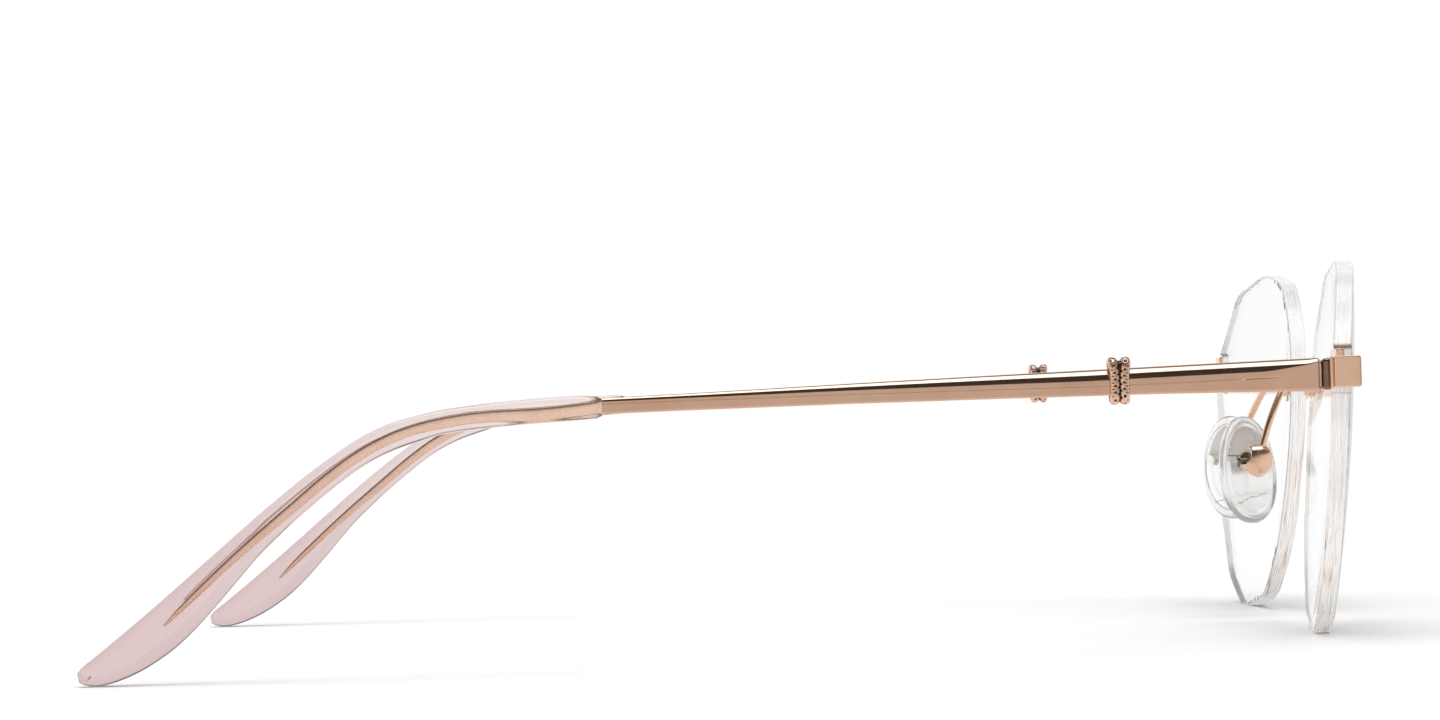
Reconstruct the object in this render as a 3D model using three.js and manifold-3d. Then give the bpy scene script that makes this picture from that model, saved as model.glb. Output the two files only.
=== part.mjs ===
// Rimless eyeglasses, in millimetres. +X is the wearer's forward, +Y the wearer's left, +Z up.
// The lenses and the temple tips stand on z = 0. Every piece is made for the left side and mirrored for the right.
import * as THREE from "three";
import { mergeVertices } from "three/addons/utils/BufferGeometryUtils.js";
import Module from "manifold-3d";

// ---- driving dimensions ----
const X_ORIGIN = 60.919; // moves the hinge line forward of the origin, which is the bottom centre of the whole

// lens: outline corners (a towards the temple, b up, corner radius) about the lens centre
const LENS_CENTRE_Y = 34.5;
const LENS_THICKNESS = 1.95;
const LENS_RADIUS = 208; // radius of the lens surface
const LENS_X = 4.15; // back surface at the lens centre
const LENS_WRAP = 0.074; // the lens turns back towards the temple, as a slope
const LENS_TILT = 0.092; // the lens leans forward at the top, as a slope
const LENS_CORNERS = [
  [26.6, 9.6, 3], [16.0, 19.2, 9], [1.0, 21.5, 40], [-13.5, 19.9, 12], [-23.5, 12.5, 12], [-26.0, 1.5, 14],
  [-22.6, -11.3, 18], [-12.5, -18.6, 12], [-2.0, -20.0, 12], [3.2, -20.0, 12], [12.4, -16.8, 13], [20.6, -8.2, 20],
];
const LENS_CENTRE_Z = 20.0;
const NOTCH = { y: 58.9, z0: 26.55, z1: 31.5 }; // cut in the outer edge for the endpiece
const OUTER_HOLE = { y: 55.3, z: 28.85 };
const INNER_HOLE = { y: 13.3, z: 27.4 };
const LENS_HOLE_R = 1.05;

// lens screws
const SCREW_R = 0.5;
const SCREW_HEAD_R = 1.05;
const SCREW_HEAD_H = 0.25;
const NUT_R = 1.3;
const INNER_NUT_R = 1.65;
const NUT_H = 1.0;
const BUSHING_R = 0.95;
const PLATE_GAP = 0.1; // between a metal plate and the lens
const PLATE_T = 0.45;

// endpiece and hinge
const BLOCK = { x0: 0.88, x1: 3.72, y0: 61.3, y1: 66.0, z0: 27.2, z1: 30.5 };
const HINGE = { x: -1.0, y: 63.2, r: 0.95, hole: 0.5, pin: 0.43 };
const KNUCKLES = { bottom: [26.95, 27.75], middle: [27.85, 28.85], top: [28.95, 29.85] };

// temple
const TEMPLE_OUTER_Y = 66.0;
const TEMPLE_T = 1.5;
const TEMPLE_FRONT = -0.52;
const TEMPLE_REAR = -75.95;
const TEMPLE_TOP = [[-0.52, 30.39], [-17.4, 30.03], [-34.2, 29.65], [-47, 29.33], [-65.7, 28.8], [-75.95, 28.56]];
const TEMPLE_BOTTOM = [[-0.52, 26.9], [-17.4, 27.1], [-34.2, 27.12], [-50, 27.1], [-65.7, 26.98], [-75.95, 26.88]];
// section of the temple: y from its inner face, v share of its height
const TEMPLE_SECTION = [[0.1, 0], [1.4, 0], [1.5, 0.04], [1.5, 0.64], [1.43, 0.76], [1.25, 0.88], [0.9, 0.98], [0.7, 1], [0.12, 1], [0, 0.95], [0, 0.05]];
const CORE_T = 1.0;
const CORE_LINE = [[-75.5, 27.72, 0.65], [-82.19, 27.23, 0.62], [-87.44, 27.09, 0.62], [-90.95, 26.81, 0.6], [-94.47, 26.23, 0.58], [-98.01, 25.19, 0.56], [-101.56, 23.48, 0.54], [-105.14, 21.04, 0.52], [-108.73, 18.18, 0.5], [-112.32, 15.29, 0.48], [-115.92, 12.25, 0.44], [-119.52, 9.04, 0.4], [-121.86, 6.88, 0.36], [-122.66, 6.13, 0.22]]; // x, z and half height of the wire inside the tip
const TIP_T = 2.9;
const TIP_BEVEL = 0.85;
const CORE_GAP = 0.14;
const TIP_TOP = [
  [-76.02, 28.75], [-79.33, 28.9], [-85.6, 28.6], [-91.95, 28.0], [-95.1, 27.45], [-98.3, 26.65], [-101.5, 25.25], [-104.7, 23.25],
  [-107.9, 21.0], [-112.2, 17.65], [-116.5, 14.1], [-120.8, 10.5], [-125.15, 6.95], [-129.4, 3.6], [-131.6, 1.95],
];
const TIP_END = [[-132.1, 1.1], [-131.7, 0.35]];
const TIP_BOTTOM = [
  [-130.6, 0.06], [-129.5, 0.0], [-127.5, 0.5], [-125.3, 1.4], [-123.2, 2.6], [-121.05, 4.15], [-118.9, 6.15], [-116.7, 8.5],
  [-114.5, 10.95], [-112.4, 13.25], [-110.2, 15.3], [-108.0, 17.2], [-104.8, 19.75], [-101.6, 22.0], [-98.4, 23.6], [-95.2, 24.65],
  [-92.0, 25.4], [-85.7, 25.95], [-79.4, 26.25], [-76.02, 26.45],
];

// decorative band
const RING = { x: -21.7, z: 28.62, height: 4.8, t: 3.1, lobe: 1.05, pitch: 1.24 };

// bridge and nose pads
const BRIDGE_LINE = [[8.25, 11.9, 27.7], [8.5, 9.6, 28.55], [9.163, 4.8, 29.3], [9.463, 0, 29.45]];
const BRIDGE_R = 0.8;
const ARM_LINE = [[7.5, 8.0, 29.0], [5.4, 8.0, 28.95], [3.6, 8.3, 28.35], [2.2, 9.0, 27.4], [1.25, 9.9, 25.9], [0.08, 11.0, 23.4], [-0.75, 11.6, 21.15]];
const ARM_R = 0.42;
const BOX = { x: -1.73, y: 11.75, z: 18.86, w: 3.7, t: 2.5, h: 4.1 };
const PAD = { x: -2.47, y: 8.4, z: 17.75, w: 7.0, h: 12.9, t: 2.4, splay: 20, tilt: 16 };

// ---- solids ----
const wasm = await Module();
wasm.setup();

function toSolid(geometry) {
  const g = geometry.clone();
  g.deleteAttribute("normal");
  g.deleteAttribute("uv");
  const m = mergeVertices(g, 1e-4);
  const vertProperties = new Float32Array(m.attributes.position.array), triVerts = new Uint32Array(m.index.array);
  const made = new wasm.Manifold(new wasm.Mesh({ numProp: 3, vertProperties, triVerts }));
  if (made.volume() > 0) return made;
  // a mirroring matrix has turned the faces inwards: turn them back
  for (let i = 0; i < triVerts.length; i += 3) [triVerts[i + 1], triVerts[i + 2]] = [triVerts[i + 2], triVerts[i + 1]];
  return new wasm.Manifold(new wasm.Mesh({ numProp: 3, vertProperties, triVerts }));
}

function toGeometry(solid) {
  const m = solid.getMesh();
  const g = new THREE.BufferGeometry();
  g.setAttribute("position", new THREE.BufferAttribute(new Float32Array(m.vertProperties), 3));
  g.setIndex(new THREE.BufferAttribute(new Uint32Array(m.triVerts), 1));
  g.computeVertexNormals();
  return g;
}

function mirrored(geometry) {
  const g = geometry.clone().applyMatrix4(new THREE.Matrix4().makeScale(1, -1, 1));
  const i = g.index.array;
  for (let k = 0; k < i.length; k += 3) [i[k + 1], i[k + 2]] = [i[k + 2], i[k + 1]];
  g.computeVertexNormals();
  return g;
}

const place = (g, x = 0, y = 0, z = 0) => g.applyMatrix4(new THREE.Matrix4().makeTranslation(x, y, z));
const box = (x0, x1, y0, y1, z0, z1) => toSolid(place(new THREE.BoxGeometry(x1 - x0, y1 - y0, z1 - z0), (x0 + x1) / 2, (y0 + y1) / 2, (z0 + z1) / 2));

// a cylinder whose axis is the frame's own third axis, from w0 to w1
function rod(r, w0, w1, frame, sides = 16) {
  const g = new THREE.CylinderGeometry(r, r, w1 - w0, sides);
  g.rotateX(Math.PI / 2);
  place(g, 0, 0, (w0 + w1) / 2);
  return toSolid(g.applyMatrix4(frame));
}

// a closed outline from corners with a radius each
function roundedOutline(corners, steps = 4) {
  const out = [];
  corners.forEach(([x, y, r], i) => {
    const p = new THREE.Vector2(x, y);
    const before = corners[(i + corners.length - 1) % corners.length], after = corners[(i + 1) % corners.length];
    const u = new THREE.Vector2(before[0], before[1]).sub(p), v = new THREE.Vector2(after[0], after[1]).sub(p);
    const lu = u.length(), lv = v.length();
    u.normalize();
    v.normalize();
    const half = Math.acos(Math.min(1, Math.max(-1, u.dot(v)))) / 2;
    const t = Math.min(r / Math.tan(half), 0.42 * lu, 0.42 * lv), radius = t * Math.tan(half);
    const centre = u.clone().add(v).normalize().multiplyScalar(radius / Math.sin(half)).add(p);
    const s = u.clone().multiplyScalar(t).add(p).sub(centre), e = v.clone().multiplyScalar(t).add(p).sub(centre);
    const a0 = Math.atan2(s.y, s.x);
    let d = Math.atan2(e.y, e.x) - a0;
    while (d > Math.PI) d -= 2 * Math.PI;
    while (d < -Math.PI) d += 2 * Math.PI;
    for (let k = 0; k <= steps; k++) out.push(new THREE.Vector2(centre.x + radius * Math.cos(a0 + (d * k) / steps), centre.y + radius * Math.sin(a0 + (d * k) / steps)));
  });
  return out;
}

// a flat outline in x and z, with thickness along y from y0 to y1 and rounded rims
function sidePlate(points, y0, y1, bevel = 0, bevelSteps = 2) {
  const g = new THREE.ExtrudeGeometry(new THREE.Shape(points), {
    depth: y1 - y0 - 2 * bevel,
    bevelEnabled: bevel > 0,
    bevelThickness: bevel,
    bevelSize: bevel,
    bevelOffset: -bevel,
    bevelSegments: bevelSteps,
    steps: 1,
  });
  // outline x to X, outline y to Z, depth to -Y
  g.applyMatrix4(new THREE.Matrix4().set(1, 0, 0, 0, 0, 0, -1, y1 - bevel, 0, 1, 0, 0, 0, 0, 0, 1));
  return toSolid(g);
}

const lookUp = (table, x) => {
  for (let i = 1; i < table.length; i++)
    if (x >= table[i][0] || i === table.length - 1) {
      const [x0, z0] = table[i - 1], [x1, z1] = table[i];
      return z0 + ((z1 - z0) * (x - x0)) / (x1 - x0);
    }
};

// ---- lens surface ----
const lensBack = (a, b) => LENS_X - a * LENS_WRAP + b * LENS_TILT - (a * a + b * b) / (2 * LENS_RADIUS);
// a frame on the front of the lens: third axis out of the lens, second axis up, first axis towards the temple
function lensFrame(y, z) {
  const a = y - LENS_CENTRE_Y, b = z - LENS_CENTRE_Z;
  const n = new THREE.Vector3(1, LENS_WRAP + a / LENS_RADIUS, -LENS_TILT + b / LENS_RADIUS).normalize();
  const u = new THREE.Vector3(0, 0, 1).cross(n).normalize();
  const v = n.clone().cross(u);
  return new THREE.Matrix4().makeBasis(u, v, n).setPosition(lensBack(a, b) + LENS_THICKNESS, y, z);
}

function makeLens() {
  const outline = roundedOutline(LENS_CORNERS, 3);
  const prism = new THREE.ExtrudeGeometry(new THREE.Shape(outline), { depth: 30, bevelEnabled: false });
  prism.applyMatrix4(new THREE.Matrix4().set(0, 0, 1, -10, 1, 0, 0, LENS_CENTRE_Y, 0, 1, 0, LENS_CENTRE_Z, 0, 0, 0, 1));
  // the shell between the two lens surfaces, turned about the lens axis
  const t = LENS_THICKNESS, profile = [];
  const reach = 34, rings = 4;
  for (let i = 0; i <= rings; i++) profile.push([(reach * i) / rings, 0]);
  const back = profile.map(([r]) => new THREE.Vector2(r, -(r * r) / (2 * LENS_RADIUS)));
  const front = profile.map(([r]) => new THREE.Vector2(r, t - (r * r) / (2 * LENS_RADIUS))).reverse();
  const shell = new THREE.LatheGeometry([...back, ...front], 24);
  // lathe axis +Y to +X, then sheared to the wrap and the tilt
  shell.applyMatrix4(new THREE.Matrix4().set(-LENS_WRAP, 1, LENS_TILT, LENS_X, 1, 0, 0, LENS_CENTRE_Y, 0, 0, 1, LENS_CENTRE_Z, 0, 0, 0, 1));
  let lens = toSolid(prism).intersect(toSolid(shell));
  lens = lens.subtract(box(-10, 15, NOTCH.y, 70, NOTCH.z0, NOTCH.z1));
  for (const h of [OUTER_HOLE, INNER_HOLE]) lens = lens.subtract(rod(LENS_HOLE_R, -6, 4, lensFrame(h.y, h.z)));
  return lens;
}

// ---- lens fasteners ----
function makeBushing(h) {
  const f = lensFrame(h.y, h.z);
  return rod(BUSHING_R, -LENS_THICKNESS - 0.02, 0.02, f).subtract(rod(SCREW_R + 0.12, -4, 2, f));
}
function makeScrew(h) {
  const f = lensFrame(h.y, h.z), top = PLATE_GAP + PLATE_T + 0.05;
  let screw = rod(SCREW_R, -LENS_THICKNESS - 0.1 - NUT_H - 0.15, top + 0.1, f, 16).add(rod(SCREW_HEAD_R, top, top + SCREW_HEAD_H, f, 20));
  const slot = new THREE.BoxGeometry(0.3, 3, 0.26);
  place(slot, 0, 0, top + SCREW_HEAD_H);
  return screw.subtract(toSolid(slot.applyMatrix4(f)));
}
function makeNut(h, r = NUT_R) {
  const f = lensFrame(h.y, h.z), w = -LENS_THICKNESS - 0.1;
  return rod(r, w - NUT_H, w, f, 6).subtract(rod(SCREW_R + 0.06, w - 3, w + 2, f, 16));
}

// ---- endpiece ----
function roundedBar(x0, x1, z0, z1, r, steps = 3) {
  return roundedOutline([[x0, z0, r], [x1, z0, r], [x1, z1, r], [x0, z1, r]], steps);
}
const UPRIGHT = (x, y) => new THREE.Matrix4().makeTranslation(x, y, 0);

function makeEndpiece() {
  const B = BLOCK;
  let s = sidePlate(roundedBar(B.x0, B.x1, B.z0, B.z1, 0.35), B.y0, B.y1, 0.22, 1);
  // thin flange behind the block, across a narrow seam
  s = s.add(sidePlate(roundedBar(0.44, 0.74, B.z0 - 0.1, B.z1 - 0.05, 0.12, 2), B.y0 + 1, B.y1 - 0.12));
  s = s.add(box(0.5, 1.4, B.y0 + 1, B.y1 - 0.6, B.z0 + 0.3, B.z1 - 0.3));
  // tongue that sits in the notch of the lens, and the small hook above it
  s = s.add(box(1.7, 3.4, NOTCH.y + 0.35, B.y0 + 0.6, B.z0 + 0.2, B.z1 - 0.3));
  s = s.add(sidePlate(roundedBar(1.5, 2.45, B.z1 - 0.6, 31.3, 0.3), NOTCH.y + 0.5, B.y0 + 1.2, 0.1, 1));
  // plate over the front of the lens, round the screw
  const bar = [];
  for (let k = 0; k <= 8; k++) {
    const t = Math.PI / 2 + (Math.PI * k) / 8;
    bar.push(new THREE.Vector2(1.65 * Math.cos(t), 1.55 * Math.sin(t)));
  }
  bar.push(new THREE.Vector2(4.2, -1.6), new THREE.Vector2(7.4, -1.6), new THREE.Vector2(7.4, 1.6), new THREE.Vector2(4.2, 1.6));
  const plate = new THREE.ExtrudeGeometry(new THREE.Shape(bar), {
    depth: PLATE_T - 0.3, bevelEnabled: true, bevelThickness: 0.15, bevelSize: 0.15, bevelOffset: -0.15, bevelSegments: 1,
  });
  place(plate, 0, 0, PLATE_GAP + 0.15);
  const f = lensFrame(OUTER_HOLE.y, OUTER_HOLE.z);
  s = s.add(toSolid(plate.applyMatrix4(f))).subtract(rod(SCREW_R + 0.08, -4, 4, f, 20));
  // upright rounded stop that the front end of the open temple meets
  s = s.add(sidePlate(roundedBar(-0.4, 0.6, 27.0, 30.3, 0.42), HINGE.y + 1.15, 65.6, 0.1, 1));
  // middle hinge knuckle and its arm
  const [k0, k1] = KNUCKLES.middle, H = HINGE;
  s = s.add(rod(H.r, k0, k1, UPRIGHT(H.x, H.y))).add(box(H.x, 1.2, H.y - 0.9, H.y + 0.85, k0, k1));
  return s.subtract(rod(H.hole, 20, 35, UPRIGHT(H.x, H.y)));
}

function makeHingeScrew() {
  const H = HINGE, at = UPRIGHT(H.x, H.y), top = KNUCKLES.top[1];
  const screw = rod(H.pin, KNUCKLES.bottom[0] + 0.05, top + 0.2, at, 20).add(rod(0.78, top + 0.05, top + 0.45, at, 20));
  return screw.subtract(box(H.x - 2, H.x + 2, H.y - 0.13, H.y + 0.13, top + 0.25, top + 1));
}

// ---- temple ----
function makeTemple() {
  const inner = TEMPLE_OUTER_Y - TEMPLE_T, steps = 8, length = TEMPLE_FRONT - TEMPLE_REAR;
  const shape = new THREE.Shape(TEMPLE_SECTION.map(([y, v]) => new THREE.Vector2(y, v)));
  const g = new THREE.ExtrudeGeometry(shape, { depth: 1, steps, bevelEnabled: false });
  const p = g.attributes.position;
  for (let i = 0; i < p.count; i++) {
    const y = p.getX(i), v = p.getY(i), x = TEMPLE_REAR + length * p.getZ(i);
    const lo = lookUp(TEMPLE_BOTTOM, x), hi = lookUp(TEMPLE_TOP, x);
    p.setXYZ(i, x, inner + y, lo + v * (hi - lo));
  }
  let s = toSolid(g);
  const core = coreOutline(0);
  const mid = TEMPLE_OUTER_Y - TEMPLE_T / 2;
  s = s.add(sidePlate(core, mid - CORE_T / 2, mid + CORE_T / 2, 0.18, 1));
  const H = HINGE;
  for (const [k0, k1, foot] of [[...KNUCKLES.bottom, KNUCKLES.bottom[0]], [...KNUCKLES.top, KNUCKLES.top[0]]]) {
    s = s.add(rod(H.r, k0, k1, UPRIGHT(H.x, H.y)));
    s = s.add(box(H.x - 1.9, H.x, H.y + 0.1, inner + 0.3, foot, k1));
  }
  // the inner face of the front end is relieved round the hinge's middle arm
  return s.subtract(rod(H.hole, 20, 35, UPRIGHT(H.x, H.y)));
}

function coreOutline(gap, from = 0) {
  const top = [], bottom = [];
  CORE_LINE.forEach(([x, z, h], i) => {
    const [xa, za] = CORE_LINE[Math.max(0, i - 1)], [xb, zb] = CORE_LINE[Math.min(CORE_LINE.length - 1, i + 1)];
    const l = Math.hypot(xb - xa, zb - za), nx = (zb - za) / l, nz = -(xb - xa) / l;
    const shift = i === 0 ? from : i === CORE_LINE.length - 1 ? -gap - 0.1 : 0;
    const zs = z + (shift * (zb - za)) / (xb - xa);
    top.push(new THREE.Vector2(x + shift + nx * (h + gap), zs + nz * (h + gap)));
    bottom.push(new THREE.Vector2(x + shift - nx * (h + gap), zs - nz * (h + gap)));
  });
  return [...top, ...bottom.reverse()];
}

function makeTip() {
  const smooth = (rows, n) => new THREE.SplineCurve(rows.map(([x, z]) => new THREE.Vector2(x, z))).getSpacedPoints(n);
  const outline = [...smooth(TIP_TOP, 15), ...TIP_END.map(([x, z]) => new THREE.Vector2(x, z)), ...smooth(TIP_BOTTOM, 17)];
  const mid = TEMPLE_OUTER_Y - TEMPLE_T / 2;
  const s = sidePlate(outline, mid - TIP_T / 2, mid + TIP_T / 2, TIP_BEVEL, 2);
  return s.subtract(sidePlate(coreOutline(CORE_GAP, 3), mid - CORE_T / 2 - CORE_GAP, mid + CORE_T / 2 + CORE_GAP));
}

function makeRing() {
  const R = RING, mid = TEMPLE_OUTER_Y - TEMPLE_T / 2;
  let s = null;
  for (const side of [-1, 1]) {
    const shape = new THREE.Shape(roundedBar(mid - R.t / 2, mid + R.t / 2, R.z - R.height / 2, R.z + R.height / 2, 0.8, 3));
    const g = new THREE.ExtrudeGeometry(shape, {
      depth: 0.35, bevelEnabled: true, bevelThickness: R.lobe / 2 - 0.1, bevelSize: 0.4, bevelOffset: -0.4, bevelSegments: 2,
    });
    // the outline lies in Y and Z and grows along X
    g.applyMatrix4(new THREE.Matrix4().set(0, 0, 1, R.x + (side * R.pitch) / 2 - 0.175, 1, 0, 0, 0, 0, 1, 0, 0, 0, 0, 0, 1));
    const lobe = toSolid(g);
    s = s ? s.add(lobe) : lobe;
  }
  s = s.add(box(R.x - 0.3, R.x + 0.3, mid - R.t / 2 + 0.45, mid + R.t / 2 - 0.45, R.z - R.height / 2 + 0.35, R.z + R.height / 2 - 0.35));
  const lo = lookUp(TEMPLE_BOTTOM, R.x) - 0.1, hi = lookUp(TEMPLE_TOP, R.x) + 0.12;
  return s.subtract(box(R.x - 4, R.x + 4, mid - TEMPLE_T / 2 - 0.1, mid + TEMPLE_T / 2 + 0.1, lo, hi));
}

// ---- bridge, arms and pads ----
function wire(points, r, steps, sides = 10) {
  const curve = new THREE.CatmullRomCurve3(points.map((p) => new THREE.Vector3(...p)), false, "centripetal");
  const ring = [];
  for (let k = 0; k < sides; k++) ring.push(new THREE.Vector2(r * Math.cos((2 * Math.PI * k) / sides), r * Math.sin((2 * Math.PI * k) / sides)));
  return toSolid(new THREE.ExtrudeGeometry(new THREE.Shape(ring), { steps, bevelEnabled: false, extrudePath: curve }));
}

function makeBridge() {
  const half = BRIDGE_LINE.slice(0, -1), whole = [...BRIDGE_LINE, ...half.reverse().map(([x, y, z]) => [x, -y, z])];
  let s = wire(whole, BRIDGE_R, 14, 10);
  for (const side of [1, -1]) {
    const f = lensFrame(INNER_HOLE.y, INNER_HOLE.z);
    const disc = new THREE.CylinderGeometry(1.75, 1.75, PLATE_T, 20).rotateX(Math.PI / 2);
    place(disc, 0, 0, PLATE_GAP + PLATE_T / 2).applyMatrix4(f);
    let foot = toSolid(disc);
    let bore = rod(SCREW_R + 0.08, -4, 4, f, 20);
    if (side < 0) {
      foot = toSolid(mirrored(toGeometry(foot)));
      bore = toSolid(mirrored(toGeometry(bore)));
    }
    s = s.add(foot).subtract(bore);
  }
  return s;
}

const makeArm = () => wire(ARM_LINE, ARM_R, 12, 8);

function makeBox() {
  const B = BOX;
  const outline = roundedBar(B.x - B.w / 2, B.x + B.w / 2, B.z - B.h / 2, B.z + B.h / 2, 1.5, 4);
  let s = sidePlate(outline, B.y - B.t / 2, B.y + B.t / 2, 0.5, 2);
  s = s.subtract(box(B.x - 1.15, B.x + 1.15, B.y - B.t, B.y + B.t / 2 - 0.45, B.z - 1.55, B.z + 1.55));
  const across = new THREE.Matrix4().makeBasis(new THREE.Vector3(0, 1, 0), new THREE.Vector3(0, 0, 1), new THREE.Vector3(1, 0, 0)).setPosition(0, B.y - 0.15, B.z);
  // the arm's end sits in a socket in the top of the box
  s = s.subtract(wireSocket());
  return s.subtract(rod(0.45, B.x - 5, B.x + 5, across, 16));
}
function wireSocket() {
  return wire(ARM_LINE, ARM_R + 0.1, 12, 8);
}

const PAD_AXIS = (B) => new THREE.Matrix4().makeBasis(new THREE.Vector3(0, 1, 0), new THREE.Vector3(0, 0, 1), new THREE.Vector3(1, 0, 0)).setPosition(0, B.y - 0.15, B.z);
function makePadScrew() {
  const B = BOX, x0 = B.x - B.w / 2;
  const s = rod(0.35, x0 - 0.1, B.x + B.w / 2 - 0.05, PAD_AXIS(B), 16).add(rod(0.7, x0 - 0.4, x0 - 0.05, PAD_AXIS(B), 16));
  return s.subtract(box(x0 - 1, x0 - 0.25, B.y - 2, B.y + 2, B.z - 0.1, B.z + 0.1));
}

// first axis across the pad, towards the front; second up the pad; third away from the nose
function padFrame() {
  const P = PAD, s = THREE.MathUtils.degToRad(P.splay), t = THREE.MathUtils.degToRad(P.tilt);
  const w = new THREE.Vector3(Math.sin(s) * Math.cos(t), Math.cos(s) * Math.cos(t), Math.sin(t)).normalize();
  const v = new THREE.Vector3(-0.02, -Math.sin(t), Math.cos(t));
  v.sub(w.clone().multiplyScalar(v.dot(w))).normalize();
  const u = v.clone().cross(w);
  return new THREE.Matrix4().makeBasis(u, v, w).setPosition(P.x, P.y, P.z);
}
const TAB_FOOT = { u: 0.25, v: 0.7, w: 2.2, h: 3.4, t: 0.5 };

function makePad() {
  const P = PAD, ring = [];
  for (let k = 0; k < 24; k++) {
    const t = (2 * Math.PI * k) / 24, c = Math.cos(t), q = Math.sin(t);
    const e = 0.9; // a little squarer than an ellipse
    ring.push(new THREE.Vector2((P.w / 2) * Math.sign(c) * Math.abs(c) ** e, (P.h / 2) * Math.sign(q) * Math.abs(q) ** e));
  }
  const g = new THREE.ExtrudeGeometry(new THREE.Shape(ring), {
    depth: P.t - 1.8, bevelEnabled: true, bevelThickness: 0.9, bevelSize: 0.9, bevelOffset: -0.9, bevelSegments: 2,
  });
  place(g, 0, 0, -(P.t - 1.8) / 2);
  const F = TAB_FOOT;
  const pocket = new THREE.BoxGeometry(F.w + 0.3, F.h + 0.3, F.t + 0.3);
  place(pocket, F.u, F.v, 0.2);
  const slot = new THREE.BoxGeometry(1.6, 2.0, 4);
  place(slot, F.u, F.v, 2.3);
  const f = padFrame();
  return toSolid(g.applyMatrix4(f)).subtract(toSolid(pocket.applyMatrix4(f))).subtract(toSolid(slot.applyMatrix4(f)));
}

function makeTab() {
  const B = BOX, F = TAB_FOOT, f = padFrame();
  const foot = new THREE.BoxGeometry(F.w, F.h, F.t);
  place(foot, F.u, F.v, 0.2);
  const neck = new THREE.BoxGeometry(1.1, 1.5, 1.5);
  place(neck, F.u, F.v, 0.95);
  let s = toSolid(foot.applyMatrix4(f)).add(toSolid(neck.applyMatrix4(f)));
  s = s.add(rod(0.75, B.x - 0.8, B.x + 0.8, PAD_AXIS(B), 16));
  s = s.add(box(B.x - 0.8, B.x + 0.8, B.y - 2.1, B.y - 0.2, B.z - 0.7, B.z + 0.7));
  return s.subtract(rod(0.42, B.x - 5, B.x + 5, PAD_AXIS(B), 16));
}

// ---- materials ----
const rose = () => new THREE.MeshStandardMaterial({ color: 0xb98a6f, roughness: 0.22, metalness: 1 });
const roseDark = () => new THREE.MeshStandardMaterial({ color: 0x8a6552, roughness: 0.3, metalness: 1 });
const clear = () => new THREE.MeshStandardMaterial({ color: 0xf1f1f1, roughness: 0.05, metalness: 0, transparent: true, opacity: 0.3 });
const silicone = () => new THREE.MeshStandardMaterial({ color: 0xe9e9e9, roughness: 0.2, metalness: 0, transparent: true, opacity: 0.45 });
const pink = () => new THREE.MeshStandardMaterial({ color: 0xdec6c3, roughness: 0.1, metalness: 0, transparent: true, opacity: 0.6 });

// ---- assembly ----
const glasses = new THREE.Group();
glasses.position.x = X_ORIGIN;

function addPair(name, solid, material) {
  const left = toGeometry(solid);
  for (const [side, g] of [["left", left], ["right", mirrored(left)]]) {
    const mesh = new THREE.Mesh(g, material());
    mesh.name = side + "_" + name;
    glasses.add(mesh);
  }
}

addPair("lens", makeLens(), clear);
addPair("endpiece", makeEndpiece(), rose);
addPair("hinge_screw", makeHingeScrew(), roseDark);
addPair("outer_bushing", makeBushing(OUTER_HOLE), clear);
addPair("outer_screw", makeScrew(OUTER_HOLE), rose);
addPair("outer_nut", makeNut(OUTER_HOLE), rose);
addPair("inner_bushing", makeBushing(INNER_HOLE), clear);
addPair("inner_screw", makeScrew(INNER_HOLE), rose);
addPair("inner_nut", makeNut(INNER_HOLE, INNER_NUT_R), rose);
addPair("temple", makeTemple(), rose);
addPair("temple_ring", makeRing(), roseDark);
addPair("temple_tip", makeTip(), pink);
addPair("pad_arm", makeArm(), rose);
addPair("pad_box", makeBox(), rose);
addPair("pad_screw", makePadScrew(), roseDark);
addPair("nose_pad", makePad(), silicone);
addPair("pad_tab", makeTab(), roseDark);

const bridge = new THREE.Mesh(toGeometry(makeBridge()), rose());
bridge.name = "bridge";
glasses.add(bridge);

export default glasses;
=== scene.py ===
import math
import bpy
import bmesh
import numpy as np
from mathutils import Matrix, Vector
from mathutils.geometry import delaunay_2d_cdt


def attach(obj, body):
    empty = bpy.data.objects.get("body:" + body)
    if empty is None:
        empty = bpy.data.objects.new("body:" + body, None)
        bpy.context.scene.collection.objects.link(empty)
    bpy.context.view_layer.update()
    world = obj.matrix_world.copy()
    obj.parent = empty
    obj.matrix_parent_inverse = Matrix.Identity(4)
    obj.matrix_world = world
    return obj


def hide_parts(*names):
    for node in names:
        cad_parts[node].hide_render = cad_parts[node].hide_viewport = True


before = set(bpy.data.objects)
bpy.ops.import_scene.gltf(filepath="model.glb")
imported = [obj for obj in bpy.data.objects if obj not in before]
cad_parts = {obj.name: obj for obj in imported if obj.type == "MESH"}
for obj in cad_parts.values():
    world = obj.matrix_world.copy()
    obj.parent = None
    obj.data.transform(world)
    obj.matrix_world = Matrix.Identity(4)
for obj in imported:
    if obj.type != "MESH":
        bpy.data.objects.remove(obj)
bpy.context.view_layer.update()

X_ORIGIN = 60.919
SIDES = (("left", 1.0), ("right", -1.0))


# ---------------------------------------------------------------- node helpers
def new_material(name):
    m = bpy.data.materials.new(name)
    m.use_nodes = True
    nt = m.node_tree
    nt.nodes.clear()
    out = nt.nodes.new("ShaderNodeOutputMaterial")
    bsdf = nt.nodes.new("ShaderNodeBsdfPrincipled")
    nt.links.new(bsdf.outputs[0], out.inputs[0])
    return m, nt, bsdf


def node(nt, kind, inputs=None, **props):
    n = nt.nodes.new(kind)
    for k, v in props.items():
        setattr(n, k, v)
    for k, v in (inputs or {}).items():
        if isinstance(v, bpy.types.NodeSocket):
            nt.links.new(v, n.inputs[k])
        else:
            n.inputs[k].default_value = v
    return n


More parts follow.
